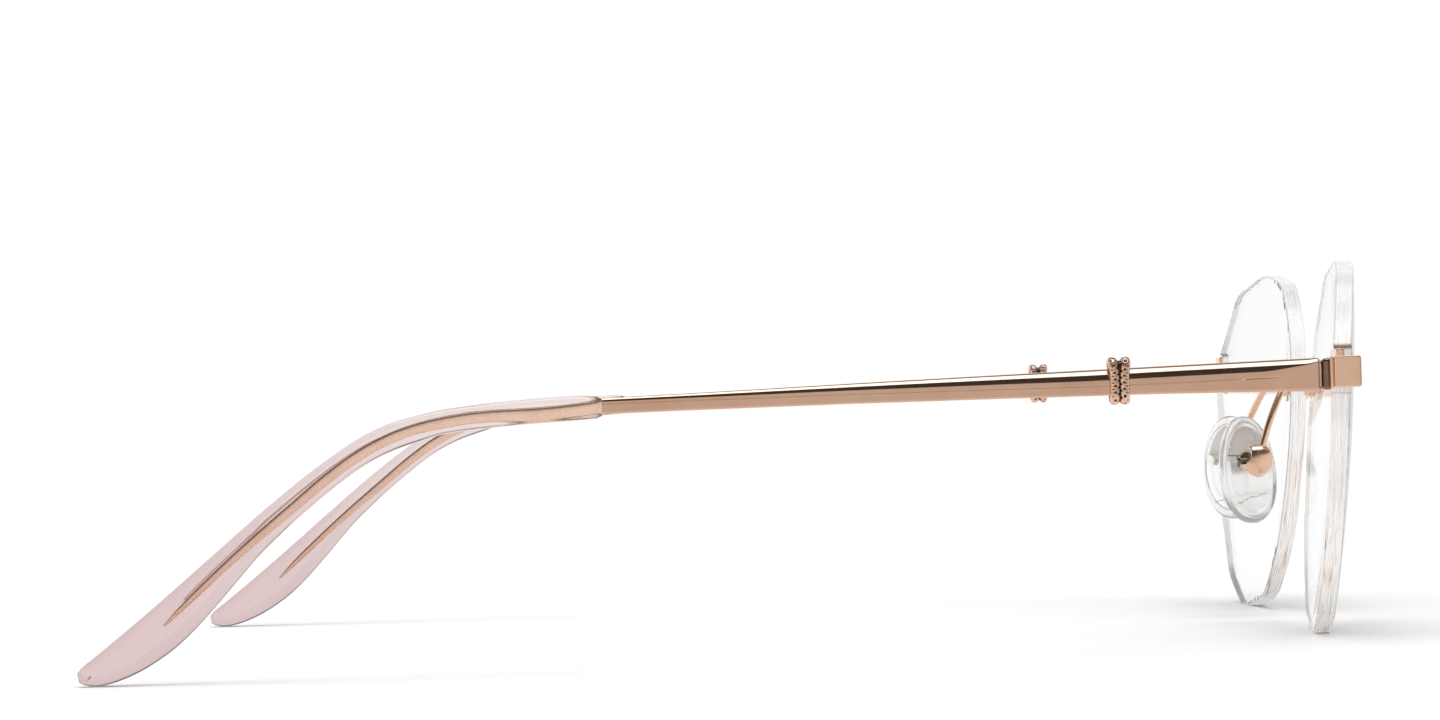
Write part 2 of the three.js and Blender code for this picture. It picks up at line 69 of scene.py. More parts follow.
def coords(nt, scale=(1, 1, 1)):
    tc = node(nt, "ShaderNodeTexCoord")
    return node(nt, "ShaderNodeMapping", {"Vector": tc.outputs["Object"], "Scale": scale}).outputs[0]


def noise(nt, vec, scale, detail=3.0, rough=0.5):
    return node(nt, "ShaderNodeTexNoise", {"Vector": vec, "Scale": scale, "Detail": detail, "Roughness": rough}).outputs["Fac"]


def remap(nt, fac, a, b, c, d):
    return node(nt, "ShaderNodeMapRange", {"Value": fac, "From Min": a, "From Max": b, "To Min": c, "To Max": d}).outputs[0]


def mix_color(nt, fac, a, b):
    n = node(nt, "ShaderNodeMix", data_type="RGBA")
    for i, v in ((0, fac), (6, a), (7, b)):
        if isinstance(v, bpy.types.NodeSocket):
            nt.links.new(v, n.inputs[i])
        else:
            n.inputs[i].default_value = v
    return n.outputs[2]


def metal(name, base, dark, rough=(0.10, 0.2), grain=(900, 9000, 9000), bump=0.02, dent=0.0):
    """Polished plated metal: fine drawn grain, hand polish swirls, slightly deeper colour in broad patches."""
    m, nt, b = new_material(name)
    fine = noise(nt, coords(nt, grain), 1.0, 2.0, 0.6)
    patch = noise(nt, coords(nt), 260.0, 3.0, 0.5)
    swirl = noise(nt, coords(nt), 2400.0, 4.0, 0.65)
    colour = mix_color(nt, remap(nt, patch, 0.35, 0.7, 0.0, 1.0), (*base, 1), (*dark, 1))
    nt.links.new(colour, b.inputs["Base Color"])
    both = node(nt, "ShaderNodeMath", {0: fine, 1: swirl}, operation="ADD").outputs[0]
    nt.links.new(remap(nt, both, 0.7, 1.3, rough[0], rough[1]), b.inputs["Roughness"])
    h = both
    if dent:
        pits = node(nt, "ShaderNodeTexVoronoi", {"Vector": coords(nt), "Scale": 2600.0}, feature="F1").outputs["Distance"]
        h = node(nt, "ShaderNodeMath", {0: both, 1: remap(nt, pits, 0.0, 0.5, 0.0, dent)}, operation="ADD").outputs[0]
    bp = node(nt, "ShaderNodeBump", {"Height": h, "Strength": bump, "Distance": 0.00004})
    nt.links.new(bp.outputs[0], b.inputs["Normal"])
    b.inputs["Metallic"].default_value = 1.0
    return m


def clear(name, tint, tint2, rough=(0.0, 0.02), ior=1.5, scale=180.0, bump=0.0, bump_scale=900.0, sss=None, uvlines=0.0):
    """A clear moulded or ground plastic."""
    m, nt, b = new_material(name)
    patch = noise(nt, coords(nt), scale, 2.0, 0.5)
    nt.links.new(mix_color(nt, remap(nt, patch, 0.3, 0.7, 0, 1), (*tint, 1), (*tint2, 1)), b.inputs["Base Color"])
    b.inputs["Transmission Weight"].default_value = 1.0
    b.inputs["IOR"].default_value = ior
    wave = noise(nt, coords(nt), bump_scale, 3.0, 0.55)
    nt.links.new(remap(nt, wave, 0.3, 0.7, rough[0], rough[1]), b.inputs["Roughness"])
    if uvlines:
        uv = node(nt, "ShaderNodeUVMap").outputs[0]
        st = node(nt, "ShaderNodeMapping", {"Vector": uv, "Scale": (0.15, 9.0, 1.0)}).outputs[0]
        lines = noise(nt, st, 1.0, 4.0, 0.6)
        bp = node(nt, "ShaderNodeBump", {"Height": lines, "Strength": uvlines, "Distance": 0.0002})
        nt.links.new(bp.outputs[0], b.inputs["Normal"])
    elif bump:
        bp = node(nt, "ShaderNodeBump", {"Height": wave, "Strength": bump, "Distance": 0.0002})
        nt.links.new(bp.outputs[0], b.inputs["Normal"])
    return m


ROSE = (0.79, 0.505, 0.36)
ROSE_D = (0.73, 0.455, 0.31)
M_TEMPLE = metal("rose_plate_drawn", ROSE, ROSE_D, grain=(500, 14000, 14000))
M_ROSE = metal("rose_plate_polished", (0.93, 0.60, 0.42), (0.86, 0.535, 0.36), rough=(0.08, 0.17), grain=(5000, 5000, 5000), bump=0.015)
M_RING = metal("rose_plate_beaded", (0.93, 0.64, 0.48), (0.80, 0.50, 0.35), rough=(0.3, 0.42), bump=0.05, dent=0.2)
# painted shade: near black is mixed in by a per-vertex weight in the band's dimples, notches, rim twist and groove
nt_ = M_RING.node_tree
b_ = nt_.nodes["Principled BSDF"]
was = b_.inputs["Base Color"].links[0].from_socket
mark_ = node(nt_, "ShaderNodeAttribute", attribute_name="painted_recess_shade").outputs["Fac"]
nt_.links.new(mix_color(nt_, remap(nt_, mark_, 0.12, 0.62, 0.0, 1.0), was, (0.085, 0.05, 0.032, 1)), b_.inputs["Base Color"])
# painted shade: a near-black plate for the bed under the bands and the inside of the pad cup, dark from shade
M_PAINTED_SHADE = metal("rose_plate_painted_shade", (0.10, 0.065, 0.045), (0.055, 0.035, 0.025), rough=(0.25, 0.42), bump=0.05)
M_SCREW = metal("screw_plate", (0.62, 0.50, 0.42), (0.50, 0.38, 0.30), rough=(0.15, 0.3), grain=(6000, 6000, 6000))
M_WIRE = metal("rose_wire", (0.90, 0.60, 0.43), (0.82, 0.53, 0.37), rough=(0.24, 0.34), grain=(5000, 5000, 5000), bump=0.02)
M_CUP = metal("rose_cup", (0.84, 0.56, 0.40), (0.76, 0.49, 0.34), rough=(0.2, 0.3), grain=(5000, 5000, 5000), bump=0.03)
M_STOP = metal("rose_plate_shaded", (0.30, 0.20, 0.14), (0.20, 0.125, 0.085), rough=(0.14, 0.24), bump=0.03)
M_POST = metal("olive_plate", (0.26, 0.20, 0.14), (0.14, 0.11, 0.08), rough=(0.2, 0.35), grain=(6000, 6000, 6000), bump=0.05)
M_LENS = clear("lens_polished", (0.955, 0.957, 0.96), (0.965, 0.966, 0.968), rough=(0.0, 0.003), ior=1.17, bump=0.0)
M_TIP = clear("tip_pink", (0.845, 0.745, 0.74), (0.82, 0.715, 0.71), rough=(0.005, 0.03), ior=1.42, scale=90.0)
# the tint is deeper in the broad end of the tip than in the thin sleeve
nt_ = M_TIP.node_tree
b_ = nt_.nodes["Principled BSDF"]
was = b_.inputs["Base Color"].links[0].from_socket
x_ = node(nt_, "ShaderNodeSeparateXYZ", {0: node(nt_, "ShaderNodeTexCoord").outputs["Object"]}).outputs[0]
nt_.links.new(mix_color(nt_, remap(nt_, x_, -0.034, -0.060, 0.0, 1.0), was, (0.70, 0.545, 0.54, 1)), b_.inputs["Base Color"])
M_COREW = metal("core_wire", (0.97, 0.76, 0.60), (0.92, 0.70, 0.53), rough=(0.22, 0.34), grain=(600, 8000, 8000), bump=0.03)
M_PAD = clear("pad_silicone", (0.97, 0.97, 0.965), (0.93, 0.935, 0.935), rough=(0.06, 0.15), ior=1.38, bump=0.12, bump_scale=600.0)
M_PAD.node_tree.nodes["Principled BSDF"].inputs["Transmission Weight"].default_value = 0.86
M_CORE = clear("pad_core", (0.80, 0.73, 0.67), (0.60, 0.55, 0.52), rough=(0.12, 0.3), ior=1.45, bump=0.15, bump_scale=900.0)
M_CORE.node_tree.nodes["Principled BSDF"].inputs["Transmission Weight"].default_value = 0.6
M_SEAM = clear("pad_seam", (0.84, 0.74, 0.67), (0.70, 0.60, 0.53), rough=(0.2, 0.35), ior=1.4, bump=0.1)
M_NYLON = clear("nylon", (0.93, 0.93, 0.92), (0.90, 0.90, 0.885), rough=(0.15, 0.3), ior=1.5, bump=0.03, bump_scale=2500.0)


def ground_edge():
    """The ground and buffed rim of a lens: long wheel marks along the rim in the bump, faint beige, brown and grey
    streaks of painted reflection, a little see-through.
    """
    m, nt, b = new_material("lens_ground_edge")
    uv = node(nt, "ShaderNodeUVMap").outputs[0]
    long = node(nt, "ShaderNodeMapping", {"Vector": uv, "Scale": (0.16, 3.2, 1.0)}).outputs[0]
    fine = node(nt, "ShaderNodeMapping", {"Vector": uv, "Scale": (0.10, 11.0, 1.0)}).outputs[0]
    broad = node(nt, "ShaderNodeMapping", {"Vector": uv, "Scale": (0.12, 0.25, 1.0)}).outputs[0]
    n1, n2, n3 = noise(nt, long, 1.0, 4.0, 0.6), noise(nt, fine, 1.0, 3.0, 0.6), noise(nt, broad, 1.0, 2.0, 0.5)
    pale = mix_color(nt, remap(nt, n2, 0.38, 0.62, 0, 1), (0.84, 0.84, 0.835, 1), (1.0, 1.0, 1.0, 1))
    # painted reflection: the beige and brown streaks stand in for the rose-gold parts seen in the rim, the grey ones
    # for the dark surroundings
    beige = mix_color(nt, remap(nt, n1, 0.50, 0.58, 0, 1), pale, (0.80, 0.66, 0.56, 1))
    brown = mix_color(nt, remap(nt, n1, 0.60, 0.68, 0, 0.85), beige, (0.22, 0.15, 0.11, 1))
    grey = mix_color(nt, remap(nt, n1, 0.40, 0.33, 0, 0.7), brown, (0.42, 0.42, 0.41, 1))
    xyz = node(nt, "ShaderNodeSeparateXYZ", {0: node(nt, "ShaderNodeTexCoord").outputs["Object"]})
    # the painted reflection streaks show most on the lower half of the rim
    low = remap(nt, xyz.outputs[2], 0.029, 0.020, 0.12, 1.0)
    w = node(nt, "ShaderNodeMath", {0: low, 1: remap(nt, n3, 0.35, 0.55, 0.35, 1.0)}, operation="MULTIPLY").outputs[0]
    rim = mix_color(nt, w, pale, grey)
    # shade under the upper wall of the notch
    away = node(nt, "ShaderNodeMath", {0: xyz.outputs[2], 1: 0.0315}, operation="SUBTRACT").outputs[0]
    away = node(nt, "ShaderNodeMath", {0: away}, operation="ABSOLUTE").outputs[0]
    wide = node(nt, "ShaderNodeMath", {0: xyz.outputs[1]}, operation="ABSOLUTE").outputs[0]
    m1, m2 = remap(nt, away, 0.0001, 0.0004, 1.0, 0.0), remap(nt, wide, 0.0570, 0.0576, 0.0, 1.0)
    notch = node(nt, "ShaderNodeMath", {0: m1, 1: m2}, operation="MULTIPLY").outputs[0]
    nt.links.new(mix_color(nt, notch, rim, (0.26, 0.16, 0.11, 1)), b.inputs["Base Color"])
    nt.links.new(remap(nt, n2, 0.3, 0.7, 0.12, 0.34), b.inputs["Roughness"])
    b.inputs["Transmission Weight"].default_value = 0.42
    b.inputs["IOR"].default_value = 1.25
    bp = node(nt, "ShaderNodeBump", {"Height": n2, "Strength": 0.15, "Distance": 0.0001})
    nt.links.new(bp.outputs[0], b.inputs["Normal"])
    return m


M_EDGE = ground_edge()


# ---------------------------------------------------------------- mesh helpers (design millimetres)
class Body:
    """Vertices and faces gathered in millimetres, for one side."""

    def __init__(self):
        self.v, self.f, self.m, self.uv = [], [], [], {}

    def add(self, verts, faces, mat=0, uvs=None):
        o = len(self.v)
        self.v.extend([tuple(map(float, p)) for p in verts])
        for i, f in enumerate(faces):
            self.f.append([o + k for k in f])
            self.m.append(mat)
            if uvs is not None:
                self.uv[len(self.f) - 1] = uvs[i]
        return self


def make(name, body, mats, rides, replaces=(), y_sign=1.0, sharp=38.0):
    v = np.array(body.v, float)
    v[:, 0] += X_ORIGIN
    v[:, 1] *= y_sign
    v *= 0.001
    faces = [list(reversed(f)) if y_sign < 0 else f for f in body.f]
    me = bpy.data.meshes.new(name)
    me.from_pydata(v.tolist(), [], faces)
    for m in mats:
        me.materials.append(m)
    me.polygons.foreach_set("material_index", body.m)
    if body.uv:
        layer = me.uv_layers.new(name="UVMap")
        for fi, uvs in body.uv.items():
            uvs = list(reversed(uvs)) if y_sign < 0 else uvs
            for li, uv in zip(me.polygons[fi].loop_indices, uvs):
                layer.data[li].uv = uv
    me.validate()
    bm = bmesh.new()
    bm.from_mesh(me)
    bmesh.ops.remove_doubles(bm, verts=bm.verts, dist=1e-9)
    bm.to_mesh(me)
    bm.free()
    me.shade_smooth()
    me.set_sharp_from_angle(angle=math.radians(sharp))
    me.update()
    ob = bpy.data.objects.new(name, me)
    bpy.context.scene.collection.objects.link(ob)
    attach(ob, rides)
    if replaces:
        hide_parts(*replaces)
    return ob


def loft(rings, cap0=True, cap1=True, closed=False):
    n = len(rings[0])
    verts = [p for r in rings for p in r]
    faces = []
    k = len(rings)
    for i in range(k if closed else k - 1):
        a, b = i * n, ((i + 1) % k) * n
        for j in range(n):
            j2 = (j + 1) % n
            faces.append([a + j, a + j2, b + j2, b + j])
    if not closed:
        if cap0:
            faces.append(list(range(n))[::-1])
        if cap1:
            faces.append([(k - 1) * n + j for j in range(n)])
    return verts, faces


def fix_out(verts, faces):
    """Turns every face round if the closed surface faces inwards."""
    v = np.array(verts, float)
    vol = 0.0
    for f in faces:
        p0 = v[f[0]]
        for i in range(1, len(f) - 1):
            vol += np.dot(p0, np.cross(v[f[i]], v[f[i + 1]]))
    return verts, (faces if vol > 0 else [f[::-1] for f in faces])


def spline(points, n):
    """Centripetal-like Catmull-Rom through the points, at n even steps of arc length."""
    p = np.array(points, float)
    ext = np.vstack([2 * p[0] - p[1], p, 2 * p[-1] - p[-2]])
    out = []
    for i in range(1, len(ext) - 2):
        p0, p1, p2, p3 = ext[i - 1], ext[i], ext[i + 1], ext[i + 2]
        for t in np.linspace(0, 1, 24, endpoint=False):
            out.append(0.5 * ((2 * p1) + (-p0 + p2) * t + (2 * p0 - 5 * p1 + 4 * p2 - p3) * t * t + (-p0 + 3 * p1 - 3 * p2 + p3) * t ** 3))
    out.append(ext[-2])
    out = np.array(out)
    return resample(out, n)


def resample(pts, n, closed=False):
    pts = np.array(pts, float)
    if closed:
        pts = np.vstack([pts, pts[:1]])
    d = np.r_[0, np.cumsum(np.linalg.norm(np.diff(pts, axis=0), axis=1))]
    s = np.linspace(0, d[-1], n + 1 if closed else n)
    if closed:
        s = s[:-1]
    return np.stack([np.interp(s, d, pts[:, k]) for k in range(pts.shape[1])], 1)


def tube(path, radius, sides=16, up=(0, 0, 1), squash=(1.0, 1.0), round_ends=True, closed=False):
    """A swept wire. radius may vary along the path."""
    p = np.array(path, float)
    n = len(p)
    r = np.full(n, radius, float) if np.isscalar(radius) else np.array(radius, float)
    if closed:
        t = np.roll(p, -1, 0) - np.roll(p, 1, 0)
    else:
        t = np.gradient(p, axis=0)
    t /= np.linalg.norm(t, axis=1)[:, None]
    rings = []
    u0 = np.array(up, float)
    idx = list(range(n))
    pts, rads, tans = list(p), list(r), list(t)
    if round_ends and not closed:
        pre, post = [], []
        for k in range(1, 5):
            a = math.radians(90 * k / 4.4)
            pre.append((p[0] - t[0] * r[0] * 0.6 * math.sin(a), r[0] * math.cos(a), t[0]))
            post.append((p[-1] + t[-1] * r[-1] * 0.6 * math.sin(a), r[-1] * math.cos(a), t[-1]))
        pre = pre[::-1]
        pts = [q[0] for q in pre] + pts + [q[0] for q in post]
        rads = [q[1] for q in pre] + rads + [q[1] for q in post]
        tans = [q[2] for q in pre] + tans + [q[2] for q in post]
    prev = None
    for c, rr, tt in zip(pts, rads, tans):
        ref = u0 if prev is None else prev
        a = ref - tt * np.dot(ref, tt)
        if np.linalg.norm(a) < 1e-6:
            a = np.array([1.0, 0, 0]) - tt * tt[0]
        a /= np.linalg.norm(a)
        prev = a
        b = np.cross(tt, a)
        ring = []
        for j in range(sides):
            th = 2 * math.pi * j / sides
            ring.append(c + a * math.cos(th) * rr * squash[0] + b * math.sin(th) * rr * squash[1])
        rings.append(ring)
    return fix_out(*loft(rings, closed=closed))


def rounded(corners, steps=6):
    """Closed outline from corners (x, y, radius)."""
    out, n = [], len(corners)
    for i in range(n):
        x, y, r = corners[i]
        p = np.array([x, y], float)
        u = np.array(corners[i - 1][:2], float) - p
        v = np.array(corners[(i + 1) % n][:2], float) - p
        lu, lv = np.linalg.norm(u), np.linalg.norm(v)
        u /= lu
        v /= lv
        half = math.acos(max(-1, min(1, float(u @ v)))) / 2
        t = min(r / math.tan(half), 0.42 * lu, 0.42 * lv)
        rad = t * math.tan(half)
        c = p + (u + v) / np.linalg.norm(u + v) * (rad / math.sin(half))
        s, e = p + u * t - c, p + v * t - c
        a0 = math.atan2(s[1], s[0])
        d = (math.atan2(e[1], e[0]) - a0 + math.pi) % (2 * math.pi) - math.pi
        for k in range(steps + 1):
            out.append(c + rad * np.array([math.cos(a0 + d * k / steps), math.sin(a0 + d * k / steps)]))
    return np.array(out)


def inset(outline, d):
    """Moves a closed counter-clockwise outline inwards by d, along the corner bisectors."""
    p = np.array(outline, float)
    e0 = p - np.roll(p, 1, 0)
    e1 = np.roll(p, -1, 0) - p
    n0 = np.stack([-e0[:, 1], e0[:, 0]], 1)
    n1 = np.stack([-e1[:, 1], e1[:, 0]], 1)
    n0 /= np.maximum(np.linalg.norm(n0, axis=1), 1e-12)[:, None]
    n1 /= np.maximum(np.linalg.norm(n1, axis=1), 1e-12)[:, None]
    m = n0 + n1
    m /= np.maximum((m * m).sum(1), 1e-9)[:, None] / 2
    size = np.linalg.norm(m, axis=1)
    m *= (np.minimum(size, 1.6) / np.maximum(size, 1e-9))[:, None]
    return p + m * d


def basis(u, v, w, o):
    m = np.eye(4)
    m[:3, 0], m[:3, 1], m[:3, 2], m[:3, 3] = u, v, w, o
    return m


def at(frame_m, pts):
    pts = np.array(pts, float)
    return pts @ frame_m[:3, :3].T + frame_m[:3, 3]


XZ = basis((1, 0, 0), (0, 0, 1), (0, -1, 0), (0, 0, 0))  # outline in x and z, depth towards -y
YZ = basis((0, 1, 0), (0, 0, 1), (1, 0, 0), (0, 0, 0))  # outline in y and z, depth towards +x
XY = basis((1, 0, 0), (0, 1, 0), (0, 0, 1), (0, 0, 0))


def prism(outline, w0, w1, bevel=0.1, segs=4, frame_m=XY, bevel1=None):
    """An extruded outline with rounded rims."""
    b0, b1 = bevel, bevel if bevel1 is None else bevel1
    rings = []
    for k in range(segs + 1):
        a = math.pi / 2 * k / segs
        q = inset(outline, b0 * (1 - math.sin(a)))
        rings.append(at(frame_m, np.c_[q, np.full(len(q), w0 + b0 * (1 - math.cos(a)))]))
    for k in range(segs + 1):
        a = math.pi / 2 * k / segs
        q = inset(outline, b1 * (1 - math.cos(a)))
        rings.append(at(frame_m, np.c_[q, np.full(len(q), w1 - b1 * (1 - math.sin(a)))]))
    return fix_out(*loft(rings))


def circle(r, n=32, cx=0.0, cy=0.0):
    return np.array([[cx + r * math.cos(2 * math.pi * k / n), cy + r * math.sin(2 * math.pi * k / n)] for k in range(n)])


def turned(profile, frame_m, n=40):
    """A lathe shape from (radius, height) rows, first and last on the axis."""
    rings = [at(frame_m, [[max(r, 1e-4) * math.cos(2 * math.pi * k / n), max(r, 1e-4) * math.sin(2 * math.pi * k / n), h] for k in range(n)]) for r, h in profile]
    return fix_out(*loft(rings))


def boolean(ob, cutter, operation="DIFFERENCE"):
    mod = ob.modifiers.new("cut", "BOOLEAN")
    mod.operation = operation
    mod.solver = "EXACT"
    mod.object = cutter
    dg = bpy.context.evaluated_depsgraph_get()
    me = bpy.data.meshes.new_from_object(ob.evaluated_get(dg))
    ob.modifiers.clear()
    old = ob.data
    ob.data = me
    bpy.data.meshes.remove(old)
    bpy.data.objects.remove(cutter)
    me.shade_smooth()
    me.set_sharp_from_angle(angle=math.radians(38))
    return ob


def cutter_object(parts, y_sign):
    b = Body()
    for vf in parts:
        b.add(*vf)
    v = np.array(b.v, float)
    v[:, 0] += X_ORIGIN
    v[:, 1] *= y_sign
    me = bpy.data.meshes.new("cutter")
    me.from_pydata((v * 0.001).tolist(), [], [f[::-1] if y_sign < 0 else f for f in b.f])
    ob = bpy.data.objects.new("cutter", me)
    bpy.context.scene.collection.objects.link(ob)
    return ob


# ---------------------------------------------------------------- lens
CY, CZ, LT, LR = 34.5, 20.0, 1.95, 208.0
WRAP, TILT, LX = 0.074, 0.092, 4.15
CORNERS = [(26.6, 9.6, 3), (16.0, 19.2, 9), (1.0, 21.5, 40), (-13.5, 19.9, 12), (-23.5, 12.5, 12), (-26.0, 1.5, 14),
           (-22.6, -11.3, 18), (-12.5, -18.6, 12), (-2.0, -20.0, 12), (3.2, -20.0, 12), (12.4, -16.8, 13), (20.6, -8.2, 20)]
NOTCH_Y, NOTCH0, NOTCH1 = 57.8, 26.55, 31.5
OUTER, INNER = (55.3, 28.85), (13.3, 27.4)
HOLE_R = 1.05


def lens_back(a, b):
    return LX - a * WRAP + b * TILT - (a * a + b * b) / (2 * LR)


def lens_frame(y, z):
    a, b = y - CY, z - CZ
    w = np.array([1, WRAP + a / LR, -TILT + b / LR])
    w /= np.linalg.norm(w)
    u = np.cross([0, 0, 1], w)
    u /= np.linalg.norm(u)
    v = np.cross(w, u)
    return basis(u, v, w, (lens_back(a, b) + LT, y, z))


def lens_outline():
    o = rounded(CORNERS, 10)
    na, b0, b1 = NOTCH_Y - CY, NOTCH0 - CZ, NOTCH1 - CZ
    keep = []
    # where the outline crosses the notch's two walls on the outer side
    def cross(level):
        for i in range(len(o)):
            p, q = o[i], o[(i + 1) % len(o)]
            if (p[1] - level) * (q[1] - level) <= 0 and p[0] > 10 and abs(p[1] - q[1]) > 1e-9:
                t = (level - p[1]) / (q[1] - p[1])
                return p + (q - p) * t
    lo, hi = cross(b0), cross(b1)
    start = [i for i in range(len(o)) if o[i][1] > b1 and o[i][0] > 0]
    # walk counter-clockwise from the upper crossing round to the lower one
    order = sorted(range(len(o)), key=lambda i: math.atan2(o[i][1], o[i][0]) % (2 * math.pi))
    ang_hi, ang_lo = math.atan2(hi[1], hi[0]), math.atan2(lo[1], lo[0]) % (2 * math.pi)
    walk = []
    for i in order:
        ang = math.atan2(o[i][1], o[i][0]) % (2 * math.pi)
        if ang > ang_hi + 0.004 and (ang < 2 * math.pi + 1):
            walk.append((ang, o[i]))
    for i in order:
        ang = math.atan2(o[i][1], o[i][0]) % (2 * math.pi)
        if ang < ang_lo - 0.004:
            walk.append((ang + 2 * math.pi, o[i]))
    walk.sort(key=lambda q: q[0])
    pts = [hi] + [q[1] for q in walk] + [lo]
    fillet = [(lo[0], lo[1], 0.15), (na, b0, 0.35), (na, b1, 0.35), (hi[0], hi[1], 0.15)]
    inner = rounded([(pts[-2][0], pts[-2][1], 0.01), *fillet, (pts[1][0], pts[1][1], 0.01)], 4)
    mid = inner[5:-5]  # without the two outer helper corners
    loop = [q[1] for q in walk] + list(mid)
    return resample_keep(np.array(loop), 0.7)


def resample_keep(p, step):
    """Adds points on long sides, keeps every given point."""
    out = []
    for i in range(len(p)):
        a, b = p[i], p[(i + 1) % len(p)]
        n = max(1, int(np.linalg.norm(b - a) / step))
        for k in range(n):
            out.append(a + (b - a) * k / n)
    q = [out[0]]
    for r in out[1:]:
        if np.linalg.norm(r - q[-1]) > 0.02:
            q.append(r)
    return np.array(q)


def build_lens():
    outer = lens_outline()
    area = 0.5 * np.sum(outer[:, 0] * np.roll(outer[:, 1], -1) - np.roll(outer[:, 0], -1) * outer[:, 1])
    if area < 0:
        outer = outer[::-1]
    holes = [circle(HOLE_R, 36, y - CY, z - CZ)[::-1] for y, z in (OUTER, INNER)]
    loops = [outer] + holes
    CH = 0.13  # safety chamfer
    face_loops = [inset(l, CH) for l in loops]
    pts, edges = [], []
    for l in face_loops:
        o = len(pts)
        pts += [tuple(q) for q in l]
        edges += [(o + i, o + (i + 1) % len(l)) for i in range(len(l))]
    nb = len(pts)
    from_edge = np.array(outer)

    def inside(q, poly):
        x, y = q
        c = False
        for i in range(len(poly)):
            x1, y1 = poly[i - 1]
            x2, y2 = poly[i]
            if (y1 > y) != (y2 > y) and x < (x2 - x1) * (y - y1) / (y2 - y1) + x1:
                c = not c
        return c

    # a ring of points just inside the outline keeps the triangles along it from being slivers
    for q in inset(outer, 0.75):
        if inside(q, outer) and np.min(np.linalg.norm(from_edge - q, axis=1)) > 0.5 and all(
                np.linalg.norm(np.array(q) - h.mean(0)) > HOLE_R + 0.5 for h in holes):
            pts.append(tuple(q))
    step = 1.5
    for i in range(-20, 21):
        for j in range(-16, 17):
            q = (i * step + (0.5 * step if j % 2 else 0), j * step * 0.9)
            if inside(q, outer) and np.min(np.linalg.norm(from_edge - q, axis=1)) > 1.35 and all(
                    np.linalg.norm(np.array(q) - h.mean(0)) > HOLE_R + 0.7 for h in holes):
                pts.append(q)
    res = delaunay_2d_cdt([Vector(q) for q in pts], edges, [], 1, 1e-6)
    vv = np.array([list(q) for q in res[0]])
    tri = []
    for f in res[2]:
        c = vv[list(f)].mean(0)
        if inside(c, face_loops[0]) and all(np.linalg.norm(c - h.mean(0)) > HOLE_R for h in holes):
            a, b, d = (vv[k] for k in f)
            s = (b[0] - a[0]) * (d[1] - a[1]) - (b[1] - a[1]) * (d[0] - a[0])
            tri.append(list(f) if s > 0 else list(f)[::-1])
    body = Body()
    # the front lens surface faces +x: (y, z) counter-clockwise
    fx = lens_back(vv[:, 0], vv[:, 1]) + LT
    bx = lens_back(vv[:, 0], vv[:, 1])
    body.add(np.c_[fx, vv[:, 0] + CY, vv[:, 1] + CZ], tri, 0)
    body.add(np.c_[bx, vv[:, 0] + CY, vv[:, 1] + CZ], [t[::-1] for t in tri], 0)
    # edge faces: chamfer, ground edge, chamfer
    for l, fl in zip(loops, face_loops):
        levels = [(fl, LT), (l, LT - CH)] + [(l, LT - CH - (LT - 2 * CH) * k / 4) for k in range(1, 5)] + [(fl, 0.0)]
        n = len(l)
        dist = np.r_[0, np.cumsum(np.linalg.norm(np.roll(l, -1, 0) - l, axis=1))]
        verts, faces, uvs = [], [], []
        for q, h in levels:
            verts += [(lens_back(x, y) + h, x + CY, y + CZ) for x, y in q]
        for r in range(len(levels) - 1):
            h0, h1 = levels[r][1], levels[r + 1][1]
            for i in range(n):
                j = (i + 1) % n
                faces.append([r * n + i, (r + 1) * n + i, (r + 1) * n + j, r * n + j])
                uvs.append([(dist[i], h0), (dist[i], h1), (dist[i + 1], h1), (dist[i + 1], h0)])
        body.add(verts, faces, 1, uvs)
    return body


def polish(ob, y_sign):
    """Gives the two polished faces the exact normals of their sphere."""
    me = ob.data
    normals = [tuple(c.vector) for c in me.corner_normals]
    for poly in me.polygons:
        if poly.material_index:
            continue
        way = 1.0 if poly.normal.x > 0 else -1.0
        for li in poly.loop_indices:
            co = me.vertices[me.loops[li].vertex_index].co
            a_, b_ = abs(co.y) * 1000 - CY, co.z * 1000 - CZ
            n = Vector((1.0, y_sign * (WRAP + a_ / LR), -TILT + b_ / LR)).normalized() * way
            normals[li] = tuple(n)
    me.normals_split_custom_set(normals)


# ---------------------------------------------------------------- temple
TOP = [(-0.52, 30.39), (-17.4, 30.03), (-34.2, 29.65), (-47, 29.33), (-65.7, 28.8), (-75.95, 28.56)]
BOT = [(-0.52, 26.9), (-17.4, 27.1), (-34.2, 27.12), (-50, 27.1), (-65.7, 26.98), (-75.95, 26.88)]
CORE = [(-75.5, 27.72, 0.65), (-82.19, 27.23, 0.62), (-87.44, 27.09, 0.62), (-90.95, 26.81, 0.6), (-94.47, 26.23, 0.58), (-98.01, 25.19, 0.56), (-101.56, 23.48, 0.54), (-105.14, 21.04, 0.52), (-108.73, 18.18, 0.5), (-112.32, 15.29, 0.48), (-115.92, 12.25, 0.44), (-119.52, 9.04, 0.4), (-121.86, 6.88, 0.36), (-122.66, 6.13, 0.22)]
MIDY = 65.25
HX, HY, HR = -1.0, 63.2, 0.95


def height_at(table, x):
    t = sorted(table)
    return float(np.interp(x, [q[0] for q in t], [q[1] for q in t]))


def smooth01(t):
    t = min(1, max(0, t))
    return t * t * (3 - 2 * t)


def shoulder():
    """(depth below the top, tilt of the surface in degrees): a plain facet, then a round shoulder."""
    return [(1.74, 2.5), (1.70, 4.5), (1.22, 5.0), (1.17, 9.0), (1.12, 12.0), (0.98, 17.0), (0.82, 22.0), (0.68, 27.0), (0.60, 31.0), (0.55, 37.0), (0.46, 41.0), (0.36, 44.0), (0.27, 48.0),
            (0.21, 55.0), (0.15, 61.0), (0.10, 66.0), (0.06, 71.0), (0.03, 77.0), (0.0, 84.0)]


SHOULDER = shoulder()


